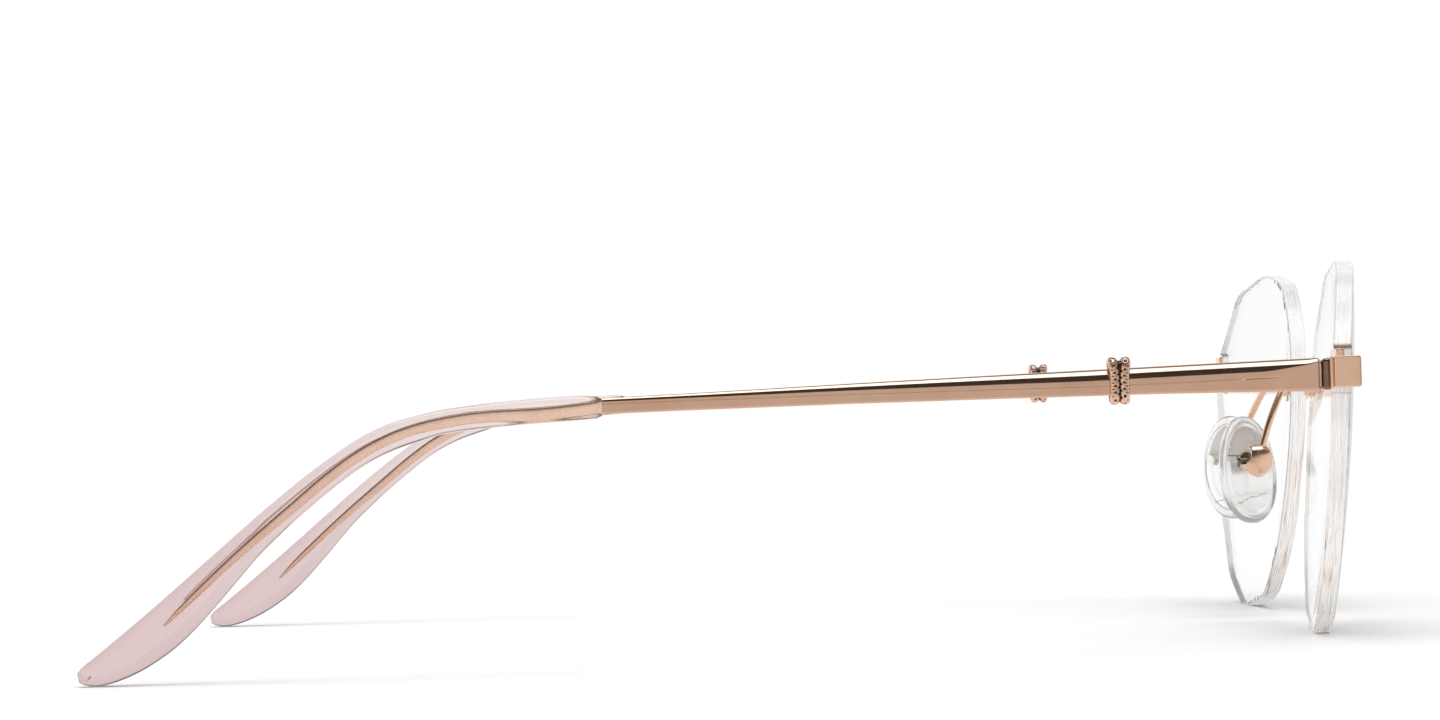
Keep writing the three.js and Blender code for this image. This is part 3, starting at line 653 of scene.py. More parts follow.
def temple_section(x):
    """(y, z) points of the temple's section at x, counter-clockwise seen from the front."""
    lo, hi = height_at(BOT, x), height_at(TOP, x)
    d = -0.52 - x
    if d < 0.45:
        cut = 0.45 - math.sqrt(max(0, 0.45 ** 2 - (0.45 - d) ** 2))
        lo += cut
        hi -= cut
    h = hi - lo
    face = 66.0 - max(0.0, 0.25 - d) * 0.5
    fit = min(1.0, max(0.25, (h - 1.15) / 1.6))
    k1 = (0.62 + 0.38 * smooth01(d / 1.6)) * fit  # the round top edge keeps its size almost to the front end
    k2 = (0.10 + 0.90 * smooth01(d / 6.5)) * fit  # the steeper flank below it runs out to a point there
    g = 0.05 * smooth01((d - 1.2) / 14.0)
    line = hi - 0.55 * k1 - 1.28 * min(1.0, max(0.35, (h - 1.0) / 1.9))  # the engraved line under the facet
    pts = [(64.6, lo), (65.88, lo), (65.96, lo + 0.03), (face, lo + 0.09), (face, lo + 0.25 * (line - lo)), (face, line - 0.10), (face, line - 0.055), (face - g, line - 0.03),
           (face - g, line + 0.03), (face, line + 0.055)]
    out, u = 0.0, 0.55 * k1 + 1.19 * k2
    pts.append((face, hi - u))
    for (u0, a0), (u1, a1) in zip(SHOULDER, SHOULDER[1:]):
        du = (u0 - u1) * (k2 if u1 >= 0.55 else k1)
        out += du * math.tan(math.radians((a0 + a1) / 2))
        u -= du
        pts.append((face - out, hi - u))
    pts += [(64.62, hi), (64.53, hi - 0.04), (64.5, hi - 0.12), (64.5, lo + 0.5 * h), (64.5, lo + 0.12), (64.53, lo + 0.04)]
    return pts


def build_temple():
    body = Body()
    xs = [-0.52 - 0.45 * (1 - math.cos(math.pi / 2 * k / 6)) for k in range(7)]
    xs += list(np.linspace(-1.1, -8, 22)) + list(np.linspace(-9, -75.95, 60))
    rings = [[(x, y, z) for y, z in temple_section(x)] for x in xs]
    body.add(*fix_out(*loft(rings)))
    # core wire: rounded rectangle section
    c = np.array(CORE)
    line = spline(c[:, :2], 70)
    h = np.interp(np.linspace(0, 1, 70), np.linspace(0, 1, len(c)), c[:, 2])
    tan = np.gradient(line, axis=0)
    tan /= np.linalg.norm(tan, axis=1)[:, None]
    nrm = np.stack([-tan[:, 1], tan[:, 0]], 1)
    rings = []
    for i in range(len(line)):
        fade = 1.0 if i < 66 else math.sqrt(max(0.02, 1 - ((i - 65) / 4.6) ** 2))
        ring = []
        for k in range(20):
            th = 2 * math.pi * k / 20
            cs, sn = math.cos(th), math.sin(th)
            yy = 0.5 * fade * np.sign(cs) * abs(cs) ** 0.6
            hh = h[i] * fade * np.sign(sn) * abs(sn) ** 0.6
            ring.append((line[i, 0] + nrm[i, 0] * hh, MIDY + yy, line[i, 1] + nrm[i, 1] * hh))
        rings.append(ring)
    body.add(*fix_out(*loft(rings)), 1)
    # knuckles and their feet
    for z0, z1, foot in ((26.95, 27.75, 26.95), (28.95, 29.85, 28.95)):
        body.add(*prism(circle(HR, 40, HX, HY), z0, z1, 0.12, 3, XY))
        body.add(*prism(rounded([(HX - 1.9, HY + 0.1, 0.25), (HX + 0.1, HY + 0.1, 0.1), (HX + 0.1, 64.8, 0.1), (HX - 1.9, 64.8, 0.1)], 3), foot, z1, 0.06, 2, XY))
    return body


# ---------------------------------------------------------------- tip
TIP_TOP = [(-76.02, 28.75), (-79.33, 28.9), (-85.6, 28.6), (-91.95, 28.0), (-95.1, 27.45), (-98.3, 26.65), (-101.5, 25.25), (-104.7, 23.25),
           (-107.9, 21.0), (-112.2, 17.65), (-116.5, 14.1), (-120.8, 10.5), (-125.15, 6.95), (-129.4, 3.6), (-131.55, 1.95), (-132.08, 0.95)]
TIP_BOT = [(-76.02, 26.45), (-79.4, 26.25), (-85.7, 25.95), (-92.0, 25.4), (-95.2, 24.65), (-98.4, 23.6), (-101.6, 22.0), (-104.8, 19.75), (-108.0, 17.2),
           (-110.2, 15.3), (-112.4, 13.25), (-114.5, 10.95), (-116.7, 8.5), (-118.9, 6.15), (-121.05, 4.15), (-123.2, 2.6), (-125.3, 1.4), (-127.5, 0.5),
           (-129.5, 0.02), (-130.6, 0.08), (-131.6, 0.38), (-132.08, 0.95)]


def build_tip():
    N = 110
    t, b = spline(TIP_TOP, N), spline(TIP_BOT, N)
    length = np.linalg.norm(np.diff((t + b) / 2, axis=0), axis=1)
    s = np.r_[0, np.cumsum(length)]
    total = s[-1]
    rings = []
    half = 1.45

    def ring(c, hv, yy, n=40, e=0.55):
        out = []
        for k in range(n):
            th = 2 * math.pi * k / n
            cs, sn = math.cos(th), math.sin(th)
            y = yy * np.sign(cs) * abs(cs) ** e
            q = np.sign(sn) * abs(sn) ** e
            out.append((c[0] + hv[0] * q, MIDY + y, c[1] + hv[1] * q))
        return out

    # from the tip forward to the front end
    for i in range(N - 2, -1, -1):
        c, hv = (t[i] + b[i]) / 2, (t[i] - b[i]) / 2
        left = total - s[i]
        y = half * math.sqrt(max(0.01, 1 - (1 - min(left, 2.2) / 2.2) ** 2)) * (1 - 0.12 * smooth01((s[i] - 30) / 25))
        near = s[i]
        lip = 0.22 - math.sqrt(max(0, 0.22 ** 2 - max(0, 0.22 - near) ** 2)) if near < 0.22 else 0.0
        f = 1 - lip / max(np.linalg.norm(hv), 0.3)
        rings.append(ring(c, hv * f, y - lip, e=0.5 if near < 40 else 0.55))
    c0, hv0 = (t[0] + b[0]) / 2, (t[0] - b[0]) / 2
    for shrink, dx in ((0.80, 0.03), (0.45, 0.05), (0.1, 0.06)):
        rings.append(ring(c0 + np.array([dx, 0]), hv0 * shrink, half * shrink))
    body = Body()
    body.add(*fix_out(*loft(rings)))
    return body


# ---------------------------------------------------------------- decorative band
def build_ring():
    """Two rounded bands side by side with rows of small punched dimples and a notched groove between, and a plain bed below."""
    RX, RZ = -21.7, 28.62
    hy, hz, cr = 1.10, 2.12, 0.75
    N = 400
    loop = resample(rounded([(hy, -hz, cr), (hy, hz, cr), (-hy, hz, cr), (-hy, -hz, cr)], 14), N, closed=True)
    nxt, prv = np.roll(loop, -1, 0), np.roll(loop, 1, 0)
    tan = nxt - prv
    tan /= np.linalg.norm(tan, axis=1)[:, None]
    nrm = np.stack([tan[:, 1], -tan[:, 0]], 1)
    step = 2 * math.pi * 17 / N

    def spread(z):
        return 0.50 + 0.20 * smooth01((z - 0.2) / 2.0) + 0.05 * smooth01((-z - 0.6) / 1.5)

    bands, base = Body(), Body()
    painted_recess_shade = []
    A = 26
    for side in (-1, 1):
        rings, marks = [], []
        for i, (p, q) in enumerate(zip(loop, nrm)):
            ring, mark = [], []
            half = 0.51
            ph = i * step + (math.pi if side > 0 else 0)
            for k in range(A + 1):
                t = -1 + 2 * k / A  # -1 at the outer rim, 1 at the groove between the bands
                # half-round profile
                h = 0.40 * math.sqrt(max(0.0, 1 - abs(t) ** 2.3))
                # dimple row along the middle, smaller notches along the groove and a fine twist along the rim
                hole = math.exp(-((t - 0.08) / 0.26) ** 2) * max(0.0, math.cos(ph)) ** 3
                notch = math.exp(-((t - 0.80) / 0.20) ** 2) * max(0.0, math.cos(ph + math.pi * 0.5)) ** 2
                rim = math.exp(-((t + 0.72) / 0.22) ** 2) * 0.5 * (1 + math.cos(2 * ph + 1.2 * t))
                small = math.exp(-((t + 0.42) / 0.16) ** 2) * max(0.0, math.cos(ph + math.pi)) ** 4
                r = h - 0.20 * hole - 0.17 * notch - 0.035 * rim - 0.09 * small
                x = RX + side * (spread(p[1]) - half * t)
                ring.append((x, MIDY + p[0] + q[0] * r, RZ + p[1] + q[1] * r))
                # weight of the painted shade: the dimples, the groove notches, the rim twist and the groove edge are
                # darkened
                mark.append(min(1.0, 1.25 * hole + 1.1 * notch + 0.12 * rim + 0.6 * small + 0.5 * max(0.0, t - 0.85) / 0.15))
            # inner side
            for k in range(1, 4):
                t = 1 - 2 * k / 4
                ring.append((RX + side * (spread(p[1]) - half * t), MIDY + p[0] - q[0] * 0.12, RZ + p[1] - q[1] * 0.12))
                mark.append(0.0)
            rings.append(ring)
            marks += mark
        v, f = fix_out(*loft(rings, closed=True))
        bands.add(v, f)
        painted_recess_shade += marks
    rings = []
    for p, q in list(zip(loop, nrm))[::4]:
        w = spread(p[1]) + 0.3
        rings.append([(RX + x, MIDY + p[0] + q[0] * r, RZ + p[1] + q[1] * r) for x, r in
                      ((-w, -0.16), (-w, -0.03), (-w * 0.5, 0.0), (0, 0.02), (w * 0.5, 0.0), (w, -0.03), (w, -0.16), (0, -0.22))])
    base.add(*fix_out(*loft(rings, closed=True)))
    return bands, base, painted_recess_shade


# ---------------------------------------------------------------- endpiece
def build_endpiece():
    m, dark = Body(), Body()
    block = rounded([(0.88, 27.2, 0.22), (3.72, 27.2, 0.34), (3.72, 30.5, 0.34), (0.88, 30.5, 0.22)], 5)
    m.add(*prism(block, -66.0, -61.3, 0.13, 5, XZ))
    flange = rounded([(0.44, 27.08, 0.14), (0.8, 27.08, 0.1), (0.8, 30.45, 0.1), (0.44, 30.45, 0.14)], 4)
    m.add(*prism(flange, -65.9, -62.3, 0.08, 3, XZ))
    inner = rounded([(0.5, 27.5, 0.1), (1.4, 27.5, 0.1), (1.4, 30.2, 0.1), (0.5, 30.2, 0.1)], 3)
    m.add(*prism(inner, -65.4, -62.3, 0.05, 2, XZ))
    # tongue in the lens notch and the hook above it
    tongue = rounded([(1.7, 27.4, 0.2), (3.4, 27.4, 0.2), (3.4, 30.2, 0.2), (1.7, 30.2, 0.2)], 3)
    m.add(*prism(tongue, -61.9, -(NOTCH_Y + 0.35), 0.12, 3, XZ))
    hook = rounded([(1.5, 29.9, 0.2), (2.45, 29.9, 0.2), (2.45, 31.3, 0.36), (1.5, 31.3, 0.36)], 6)
    m.add(*prism(hook, -62.4, -(NOTCH_Y + 0.5), 0.12, 4, XZ))
    # plate on the lens
    f = lens_frame(*OUTER)
    bar = []
    for k in range(25):
        t = math.pi / 2 + math.pi * k / 24
        bar.append((1.65 * math.cos(t), 1.6 * math.sin(t)))
    bar += [(3.0, -1.58), (5.2, -1.62), (7.2, -1.62), (7.2, 1.62), (5.2, 1.62), (3.0, 1.58)]
    m.add(*prism(np.array(bar), 0.1, 0.55, 0.05, 4, f, bevel1=0.2))
    # middle knuckle and arm
    m.add(*prism(circle(HR, 40, HX, HY), 27.85, 28.85, 0.08, 3, XY))
    arm = rounded([(HX, HY - 0.9, 0.2), (1.2, HY - 0.9, 0.1), (1.2, HY + 0.85, 0.1), (HX, HY + 0.85, 0.2)], 3)
    m.add(*prism(arm, 27.85, 28.85, 0.08, 3, XY))
    stop = rounded([(-0.4, 27.0, 0.48), (0.6, 27.0, 0.3), (0.6, 30.3, 0.3), (-0.4, 30.3, 0.48)], 8)
    dark.add(*prism(stop, -65.6, -(HY + 1.15), 0.35, 6, XZ))
    return m, dark


# ---------------------------------------------------------------- bridge, arms, pads
BRIDGE = [(8.25, 11.9, 27.7), (8.5, 9.6, 28.55), (9.163, 4.8, 29.3), (9.463, 0.0, 29.45)]
ARM = [(7.5, 8.0, 29.0), (5.4, 8.0, 28.95), (3.6, 8.3, 28.35), (2.2, 9.0, 27.4), (1.25, 9.9, 25.9), (0.08, 11.0, 23.4), (-0.75, 11.6, 21.15), (-0.98, 11.75, 20.45)]
BX, BY, BZ, BW, BT, BH = -1.73, 11.75, 18.86, 3.7, 2.5, 4.7


def build_bridge():
    whole = BRIDGE + [(x, -y, z) for x, y, z in BRIDGE[:-1][::-1]]
    path = spline(whole, 90)
    b = Body()
    u = np.linspace(-1, 1, 90)
    r = 0.8 - 0.1 * (1 - np.abs(u)) ** 0.8
    b.add(*tube(path, r, 28, up=(0, 0, 1), squash=(1.05, 0.9)))
    f = lens_frame(*INNER)
    disc = prism(circle(1.75, 48), 0.1, 0.55, 0.05, 4, f, bevel1=0.2)
    b.add(*disc)
    fl = f.copy()
    v, fc = disc
    b.add([(p[0], -p[1], p[2]) for p in v], [q[::-1] for q in fc])
    # solder fillets where the pad arms join
    for s in (1, -1):
        prof = [(0.0, 0.0), (0.75, 0.02), (0.62, 0.22), (0.5, 0.42), (0.43, 0.7), (0.0, 0.72)]
        fm = basis((0, 1, 0), (0, 0, 1), (-1, 0, 0), (7.95, 8.0 * s, 29.0))
        b.add(*turned(prof, fm, 28))
    return b


def build_arm():
    b = Body()
    b.add(*tube(spline(ARM, 70), 0.40, 22, up=(0, 1, 0)))
    return b


def superellipse(w, h, e, n=56, cx=0, cy=0):
    out = []
    for k in range(n):
        t = 2 * math.pi * k / n
        c, s = math.cos(t), math.sin(t)
        out.append((cx + w / 2 * np.sign(c) * abs(c) ** e, cy + h / 2 * np.sign(s) * abs(s) ** e))
    return np.array(out)


BOX_SHAPE = [*reversed([(-1.05, 1.86, 0.5), (0.9, 1.88, 0.7), (1.8, 1.25, 0.8), (1.88, -0.3, 0.9), (1.15, -1.28, 0.6), (0.2, -1.92, 0.5), (-0.85, -1.3, 0.7), (-1.86, -0.35, 0.6), (-1.86, 0.9, 0.7)])]
BOX_CUT = (-1.72, 1.0, 1.25)  # the opening at the upper rear: centre and radius


def build_box(y_sign, side):
    # a cup, open towards the nose; its closed end is a low dome
    body = Body()
    cx, cz = BX + 0.05, 18.72
    o = resample(rounded(BOX_SHAPE, 8), 96, closed=True)
    for _ in range(14):
        o = (np.roll(o, 1, 0) + 2 * o + np.roll(o, -1, 0)) / 4
    o *= 1.025
    centre = np.array([cx, cz])
    top = BY + BT / 2
    rings = []

    def level(points, y):
        return [(x, y, z) for x, z in points]
    for k in range(1, 15):
        a = math.pi / 2 * k / 14
        rings.append(level(centre + o * math.sin(a) ** 0.8, top - 1.15 * (1 - math.cos(a)) ** 0.9))
    for y, g in ((BY - BT / 2 + 0.12, 0.0), (BY - BT / 2 + 0.04, 0.05), (BY - BT / 2, 0.14), (BY - BT / 2, 0.42), (BY - BT / 2 + 0.12, 0.5)):
        rings.append(level(centre + o * (1 - g / 1.9), y))
    n_out = len(rings)
    rings.append(level(centre + o * 0.725, top - 0.95))
    rings.append(level(centre + o * 0.44, top - 0.62))
    verts, faces = loft(rings)
    n = len(o)
    verts, faces = fix_out(verts, faces)
    first_in = n * (n_out - 1)
    # the inner faces take the second material, painted shade for the inside of the cup
    mats = [1 if min(f) >= first_in else 0 for f in faces]
    body.v = [tuple(map(float, q)) for q in verts]
    body.f = [list(f) for f in faces]
    body.m = mats
    ob = make(side + "_pad_cup", body, [M_CUP, M_PAINTED_SHADE], "front", (side + "_pad_box",), y_sign, sharp=50)
    qx, qz, qr = BOX_CUT
    cut = cutter_object([prism(circle(qr, 48, cx + qx, cz + qz), -(BY + 2.2), -(BY - 2.2), 0.05, 2, XZ)], y_sign)
    ob = boolean(ob, cut)
    # rolled lip round the opening
    lip = Body()
    path = []
    for t in np.linspace(math.radians(-62), math.radians(48), 30):
        px_, pz_ = qx + qr * math.cos(t), qz + qr * math.sin(t)
        rr = math.hypot(px_, pz_) / 2.0
        path.append((cx + px_, top - 0.30 - 0.62 * rr ** 2, cz + pz_))
    lip.add(*tube(spline(path, 60), 0.2, 14, up=(0, 1, 0)))
    make(side + "_pad_lip", lip, [M_ROSE], "front", (), y_sign)
    return ob


PAD_C = np.array([-2.47, 8.4, 17.75])


def pad_frame():
    s, t = math.radians(20), math.radians(16)
    w = np.array([math.sin(s) * math.cos(t), math.cos(s) * math.cos(t), math.sin(t)])
    w /= np.linalg.norm(w)
    v = np.array([-0.02, -math.sin(t), math.cos(t)])
    v -= w * (v @ w)
    v /= np.linalg.norm(v)
    return basis(np.cross(v, w), v, w, PAD_C)


def pad_outline(w, h, n=72):
    o = superellipse(w, h, 0.92, n)
    # a little wider below than above
    o[:, 0] *= 1 - 0.07 * (o[:, 1] / (h / 2))
    return o


def build_pad():
    f = pad_frame()
    W, H, T = 7.0, 12.9, 2.4
    rings = []
    # third axis away from the nose: the nose side is softly crowned, the far side has a raised rim round a shallow dish
    prof = [(0.10, -1.10), (0.35, -1.08), (0.6, -1.0), (0.8, -0.84), (0.92, -0.58), (0.98, -0.25), (1.0, 0.08), (0.99, 0.36), (0.965, 0.58), (0.925, 0.72),
            (0.88, 0.76), (0.85, 0.74), (0.825, 0.66), (0.81, 0.56), (0.79, 0.50), (0.6, 0.48), (0.35, 0.47), (0.08, 0.46)]
    for r, w in prof:
        o = pad_outline(W, H)
        rings.append(at(f, np.c_[o * r, np.full(len(o), w * T / 2 / 1.0)]))
    b = Body()
    b.add(*fix_out(*loft(rings)))
    seam = Body()
    path = []
    for i, u in enumerate(np.linspace(-1, 1, 60)):
        q = u * W * 0.29
        path.append(at(f, [[q, -H * 0.27 - 0.75 * u - 0.25 * u * u + 0.07 * math.sin(7 * u + 1) + 0.035 * math.sin(19 * u), 0.47 * T / 2 / 0.5 * 0.5 + 0.02]])[0])
    seam.add(*tube(path, 0.06 + 0.025 * np.sin(np.arange(60) * 0.7), 8, up=(0, 1, 0)))
    # stiff inner plate, under the dish
    core = Body()
    o = pad_outline(W * 0.76, H * 0.80)
    o[:, 1] = np.maximum(o[:, 1], H * 0.06 + 0.22 * o[:, 0] ** 2 * 0.5)
    core.add(*prism(o, 0.36, 0.45, 0.02, 2, f))
    # clear boss round the post
    boss = []
    for k in range(40):
        t = 2 * math.pi * k / 40
        boss.append(at(f, [[0.25 + 0.95 * math.cos(t), 1.15 + 1.05 * math.sin(t), 0.66]])[0])
    b.add(*tube(boss, 0.16, 10, up=(0, 1, 0), closed=True, round_ends=False))
    return b, core, seam


def build_tab():
    f = pad_frame()
    b = Body()
    b.add(*prism(circle(0.8, 36, 0.25, 1.15), 0.55, 0.85, 0.1, 3, f))
    px = basis((0, 1, 0), (0, 0, 1), (1, 0, 0), (0, BY - 0.15, BZ))
    post = rounded([(-2.0, -0.7, 0.2), (0.2, -0.75, 0.5), (0.2, 0.75, 0.5), (-2.0, 0.7, 0.2)], 5)
    b.add(*prism(post, BX - 0.8, BX + 0.8, 0.15, 3, px))
    return b


def build_pad_screw():
    px = basis((0, 1, 0), (0, 0, 1), (1, 0, 0), (0, BY - 0.15, BZ))
    b = Body()
    x0 = BX - BW / 2
    b.add(*turned([(0, x0 - 0.4), (0.55, x0 - 0.4), (0.68, x0 - 0.3), (0.7, x0 - 0.05), (0.35, x0), (0.35, BX + BW / 2 - 0.2), (0.2, BX + BW / 2 - 0.05), (0, BX + BW / 2 - 0.05)], px, 32))
    return b


def slotted(name, body, mat, rides, node_name, y_sign, frame_m, w, half=1.4, width=0.28, depth=0.3):
    ob = make(name, body, [mat], rides, (node_name,), y_sign)
    bar = rounded([(-half, -width / 2, 0.02), (half, -width / 2, 0.02), (half, width / 2, 0.02), (-half, width / 2, 0.02)], 2)
    cut = cutter_object([prism(bar, w - depth, w + 1.0, 0.01, 1, frame_m)], y_sign)
    return boolean(ob, cut)


# ---------------------------------------------------------------- assembly of the visual pieces
lens_b = build_lens()
temple_b = build_temple()
tip_b = build_tip()
braid_b, band_b, painted_recess_shade = build_ring()
end_b, stop_b = build_endpiece()
arm_b = build_arm()
pad_b, core_b, seam_b = build_pad()
tab_b = build_tab()
screw_b = build_pad_screw()

for side, s in SIDES:
    S = side + "_"
    arm_body, pad_body = S + "temple_arm", S + "pad"
    polish(make(S + "lens_ground", lens_b, [M_LENS, M_EDGE], "front", (S + "lens",), s, sharp=30), s)
    make(S + "temple_bar", temple_b, [M_TEMPLE, M_COREW], arm_body, (S + "temple",), s, sharp=40)
    make(S + "tip_sleeve", tip_b, [M_TIP], arm_body, (S + "temple_tip",), s, sharp=50)
    braid = make(S + "band_braid", braid_b, [M_RING], arm_body, (S + "temple_ring",), s, sharp=60)
    mark = braid.data.attributes.new("painted_recess_shade", "FLOAT", "POINT")
    mark.data.foreach_set("value", painted_recess_shade)
    # the bed between the bands is painted shade
    make(S + "band_base", band_b, [M_PAINTED_SHADE], arm_body, (), s)
    make(S + "end_block", end_b, [M_ROSE], "front", (S + "endpiece",), s)
    make(S + "end_stop", stop_b, [M_STOP], "front", (), s)
    make(S + "arm_wire", arm_b, [M_WIRE], "front", (S + "pad_arm",), s)
    build_box(s, side)
    make(S + "pad_soft", pad_b, [M_PAD], pad_body, (S + "nose_pad",), s, sharp=80)
    make(S + "pad_plate", core_b, [M_CORE], pad_body, (), s)
    make(S + "pad_seam", seam_b, [M_SEAM], pad_body, (), s)
    make(S + "pad_post", tab_b, [M_POST], pad_body, (S + "pad_tab",), s)
    px = basis((0, 1, 0), (0, 0, 1), (-1, 0, 0), (BX - BW / 2 - 0.4, BY - 0.15, BZ))
    slotted(S + "pad_pin", screw_b, M_POST, "front", S + "pad_screw", s, px, 0.0, 1.0, 0.2, 0.15)
    # hinge screw
    hb = Body()
    up = basis((1, 0, 0), (0, 1, 0), (0, 0, 1), (HX, HY, 0))
    hb.add(*turned([(0, 27.0), (0.3, 27.0), (0.43, 27.1), (0.43, 29.9), (0.78, 29.9), (0.78, 30.12), (0.6, 30.28), (0, 30.3)], up, 36))
    hf = basis((1, 0, 0), (0, 1, 0), (0, 0, 1), (HX, HY, 0))
    slotted(S + "hinge_pin", hb, M_SCREW, arm_body, S + "hinge_screw", s, hf, 30.3, 1.0, 0.22, 0.16)
    for hole, label in ((OUTER, "outer"), (INNER, "inner")):
        f = lens_frame(*hole)
        b = Body()
        b.add(*turned([(0, -3.2), (0.4, -3.2), (0.5, -3.1), (0.5, 0.6), (1.05, 0.6), (1.05, 0.7), (0.98, 0.79), (0.7, 0.84), (0, 0.85)], f, 40))
        slotted(S + label + "_bolt", b, M_SCREW, "front", S + label + "_screw", s, f, 0.85, 1.4, 0.26, 0.13)
        b = Body()
        hexa = circle(1.3 if label == "outer" else 1.65, 6)
        b.add(*prism(rounded([(x, y, 0.12) for x, y in hexa], 3), -3.05, -2.05, 0.3, 5, f, bevel1=0.05))
        nut = make(S + label + "_hexnut", b, [M_ROSE], "front", (S + label + "_nut",), s)
        boolean(nut, cutter_object([prism(circle(0.56, 28), -5, -1, 0.01, 1, f)], s))
        b = Body()
        ring_o, ring_i = circle(0.95, 40), circle(0.62, 40)
        rr = []
        for o, w in ((ring_i, -1.9), (ring_o, -1.9), (ring_o, 0.0), (ring_i, 0.0)):
            rr.append(at(f, np.c_[o, np.full(40, w)]))
        b.add(*fix_out(*loft(rr, closed=True)))
        make(S + label + "_sleeve", b, [M_NYLON], "front", (S + label + "_bushing",), s)

make("bridge_bar", build_bridge(), [M_ROSE], "front", ("bridge",))


# ---------------------------------------------------------------- stage
def plane(name, corners, mat):
    me = bpy.data.meshes.new(name)
    me.from_pydata(corners, [], [[0, 1, 2, 3]])
    me.materials.append(mat)
    ob = bpy.data.objects.new(name, me)
    bpy.context.scene.collection.objects.link(ob)
    return ob


m, nt, b = new_material("floor_paper")
fine = noise(nt, coords(nt), 900.0, 3.0, 0.6)
nt.links.new(mix_color(nt, fine, (0.91, 0.91, 0.91, 1), (0.94, 0.94, 0.94, 1)), b.inputs["Base Color"])
b.inputs["Roughness"].default_value = 0.9
b.inputs["Specular IOR Level"].default_value = 0.0
floor = plane("floor", [(-6, -6, 0), (6, -6, 0), (6, 6, 0), (-6, 6, 0)], m)
floor.visible_glossy = False

world = bpy.data.worlds.new("studio")
bpy.context.scene.world = world
world.use_nodes = True
wn = world.node_tree
wn.nodes.clear()
wo = wn.nodes.new("ShaderNodeOutputWorld")
bg = wn.nodes.new("ShaderNodeBackground")
wn.links.new(bg.outputs[0], wo.inputs[0])
tc = node(wn, "ShaderNodeTexCoord")
sep = node(wn, "ShaderNodeSeparateXYZ", {0: tc.outputs["Generated"]})


def ramp(fac, stops):
    r = node(wn, "ShaderNodeValToRGB", {"Fac": fac})
    e = r.color_ramp.elements
    while len(e) < len(stops):
        e.new(0.5)
    for el, (p, v) in zip(e, stops):
        el.position = p
        el.color = (v, v, v, 1)
    return r.outputs[0]


up = remap(wn, sep.outputs[2], -1, 1, 0, 1)  # sine of the elevation, 0 to 1
S_ = lambda deg: (math.sin(math.radians(deg)) + 1) / 2
back = ramp(up, [(0.0, 0.85), (S_(-14), 0.85), (S_(-9), 0.70), (S_(13), 0.68), (S_(18), 0.05), (S_(63), 0.04), (S_(69), 1.0), (1.0, 1.0)])
front = ramp(up, [(0.0, 1.0), (S_(26), 1.0), (S_(36), 0.28), (S_(68), 0.25), (S_(78), 1.0), (1.0, 1.0)])
across = remap(wn, sep.outputs[0], -1, 1, 0, 1)
side = ramp(across, [(0.0, 1.0), (0.10, 1.0), (0.20, 0.9), (0.30, 0.46), (0.42, 0.68), (0.60, 0.68), (0.70, 0.32), (0.80, 0.14), (0.90, 0.5), (1.0, 0.9)])
band = ramp(up, [(0.0, 0.0), (S_(-14), 0.0), (S_(-9), 1.0), (S_(13), 1.0), (S_(18), 0.0), (1.0, 0.0)])
back2 = mix_color(wn, band, back, side)
facing = remap(wn, sep.outputs[1], -0.12, 0.06, 0, 1)
box = ramp(up, [(0.0, 0.0), (S_(66), 0.0), (S_(71), 1.0), (1.0, 1.0)])
lit = mix_color(wn, facing, back2, front)
glow = node(wn, "ShaderNodeVectorMath", {0: box, 1: (1.2, 1.7, 2.1)}, operation="MULTIPLY").outputs[0]
refl = node(wn, "ShaderNodeVectorMath", {0: lit, 1: glow}, operation="ADD").outputs[0]
thru = ramp(up, [(0.0, 1.0), (S_(20), 1.0), (S_(32), 0.12), (S_(62), 0.12), (S_(72), 1.0), (1.0, 1.0)])
lp = node(wn, "ShaderNodeLightPath")
c0 = mix_color(wn, lp.outputs["Is Diffuse Ray"], (1.02, 1.02, 1.02, 1.0), (0.76, 0.76, 0.76, 1.0))
c1 = mix_color(wn, lp.outputs["Is Glossy Ray"], c0, refl)
c2 = mix_color(wn, lp.outputs["Is Transmission Ray"], c1, thru)
wn.links.new(c2, bg.inputs["Color"])
bg.inputs["Strength"].default_value = 1.0


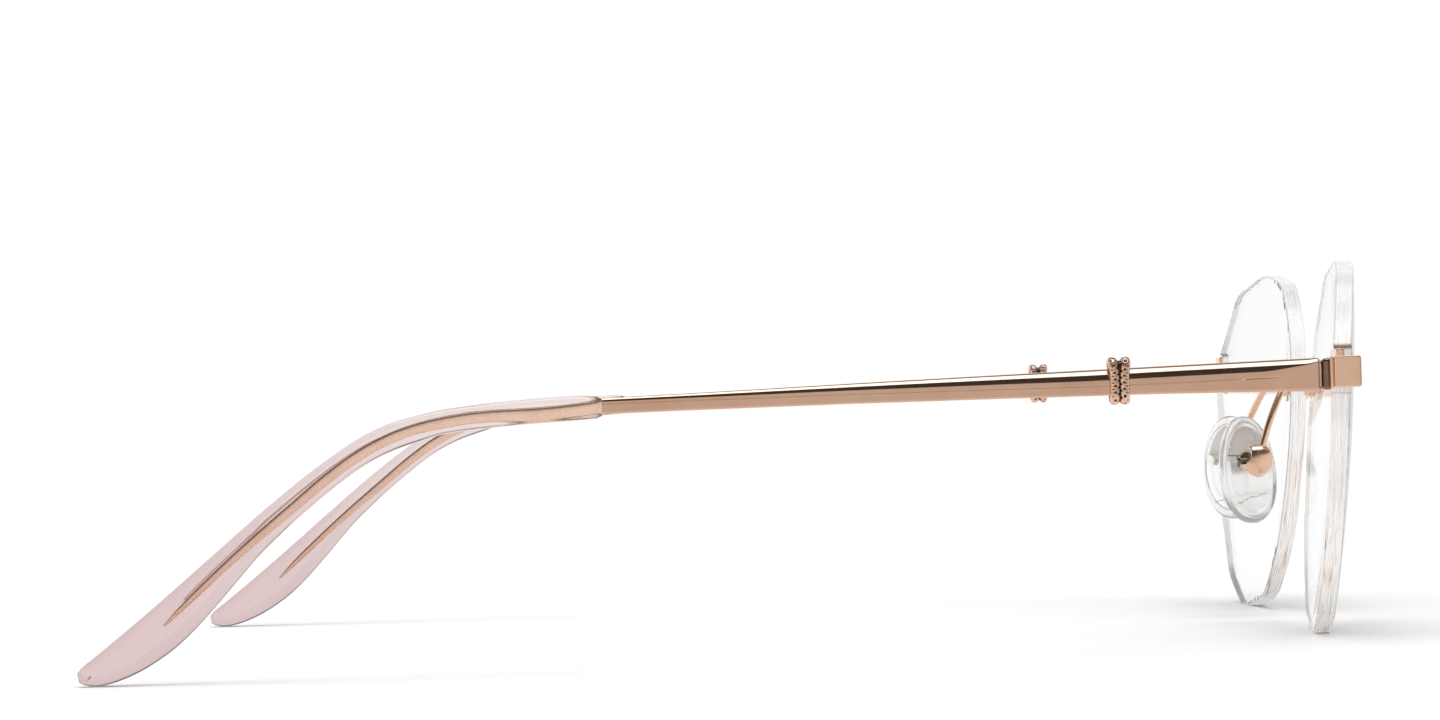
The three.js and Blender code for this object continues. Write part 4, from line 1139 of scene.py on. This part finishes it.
sun_d = bpy.data.lights.new("soft_sun", "SUN")
sun_d.energy = 1.06
sun_d.angle = math.radians(40)
sun = bpy.data.objects.new("soft_sun", sun_d)
sun.rotation_euler = (math.radians(-5), math.radians(2), 0)
bpy.context.scene.collection.objects.link(sun)
sun.visible_glossy = False
sun.visible_transmission = False
fill_d = bpy.data.lights.new("level_fill", "SUN")
fill_d.energy = 0.95
fill_d.angle = math.radians(60)
fill_d.use_shadow = False
fill = bpy.data.objects.new("level_fill", fill_d)
fill.rotation_euler = (math.radians(88), 0, 0)
bpy.context.scene.collection.objects.link(fill)
fill.visible_glossy = False
fill.visible_transmission = False

# ---------------------------------------------------------------- camera
cam_d = bpy.data.cameras.new("camera")
cam_d.sensor_fit = "HORIZONTAL"
cam_d.sensor_width = 36.0
cam_d.lens = 4822.2 / 1440 * 36.0
cam_d.clip_start, cam_d.clip_end = 0.01, 20.0
cam = bpy.data.objects.new("camera", cam_d)
bpy.context.scene.collection.objects.link(cam)
yaw, pitch, roll, phi = -0.001, -0.007, -0.038, math.atan(0.77 / 132.5)
fwd = np.array([math.sin(yaw) * math.cos(pitch), math.cos(yaw) * math.cos(pitch), -math.sin(pitch)])
rt = np.array([math.cos(yaw), -math.sin(yaw), 0.0])
upv = np.cross(rt, fwd)
r1, u1 = rt * math.cos(roll) + upv * math.sin(roll), upv * math.cos(roll) - rt * math.sin(roll)
R = np.array([[math.cos(phi), 0, -math.sin(phi)], [0, 1, 0], [math.sin(phi), 0, math.cos(phi)]])
C = R @ (np.array([-62.782, -571.393, 29.002]) - np.array([3.0, 0, 0])) + np.array([3.0, 0, 0])
C[0] += X_ORIGIN
r1, u1, w1 = R @ r1, R @ u1, R @ fwd
cam.matrix_world = Matrix(((r1[0], u1[0], -w1[0], C[0] / 1000), (r1[1], u1[1], -w1[1], C[1] / 1000), (r1[2], u1[2], -w1[2], C[2] / 1000), (0, 0, 0, 1)))
bpy.context.scene.camera = cam
bpy.context.scene.view_settings.view_transform = "Standard"
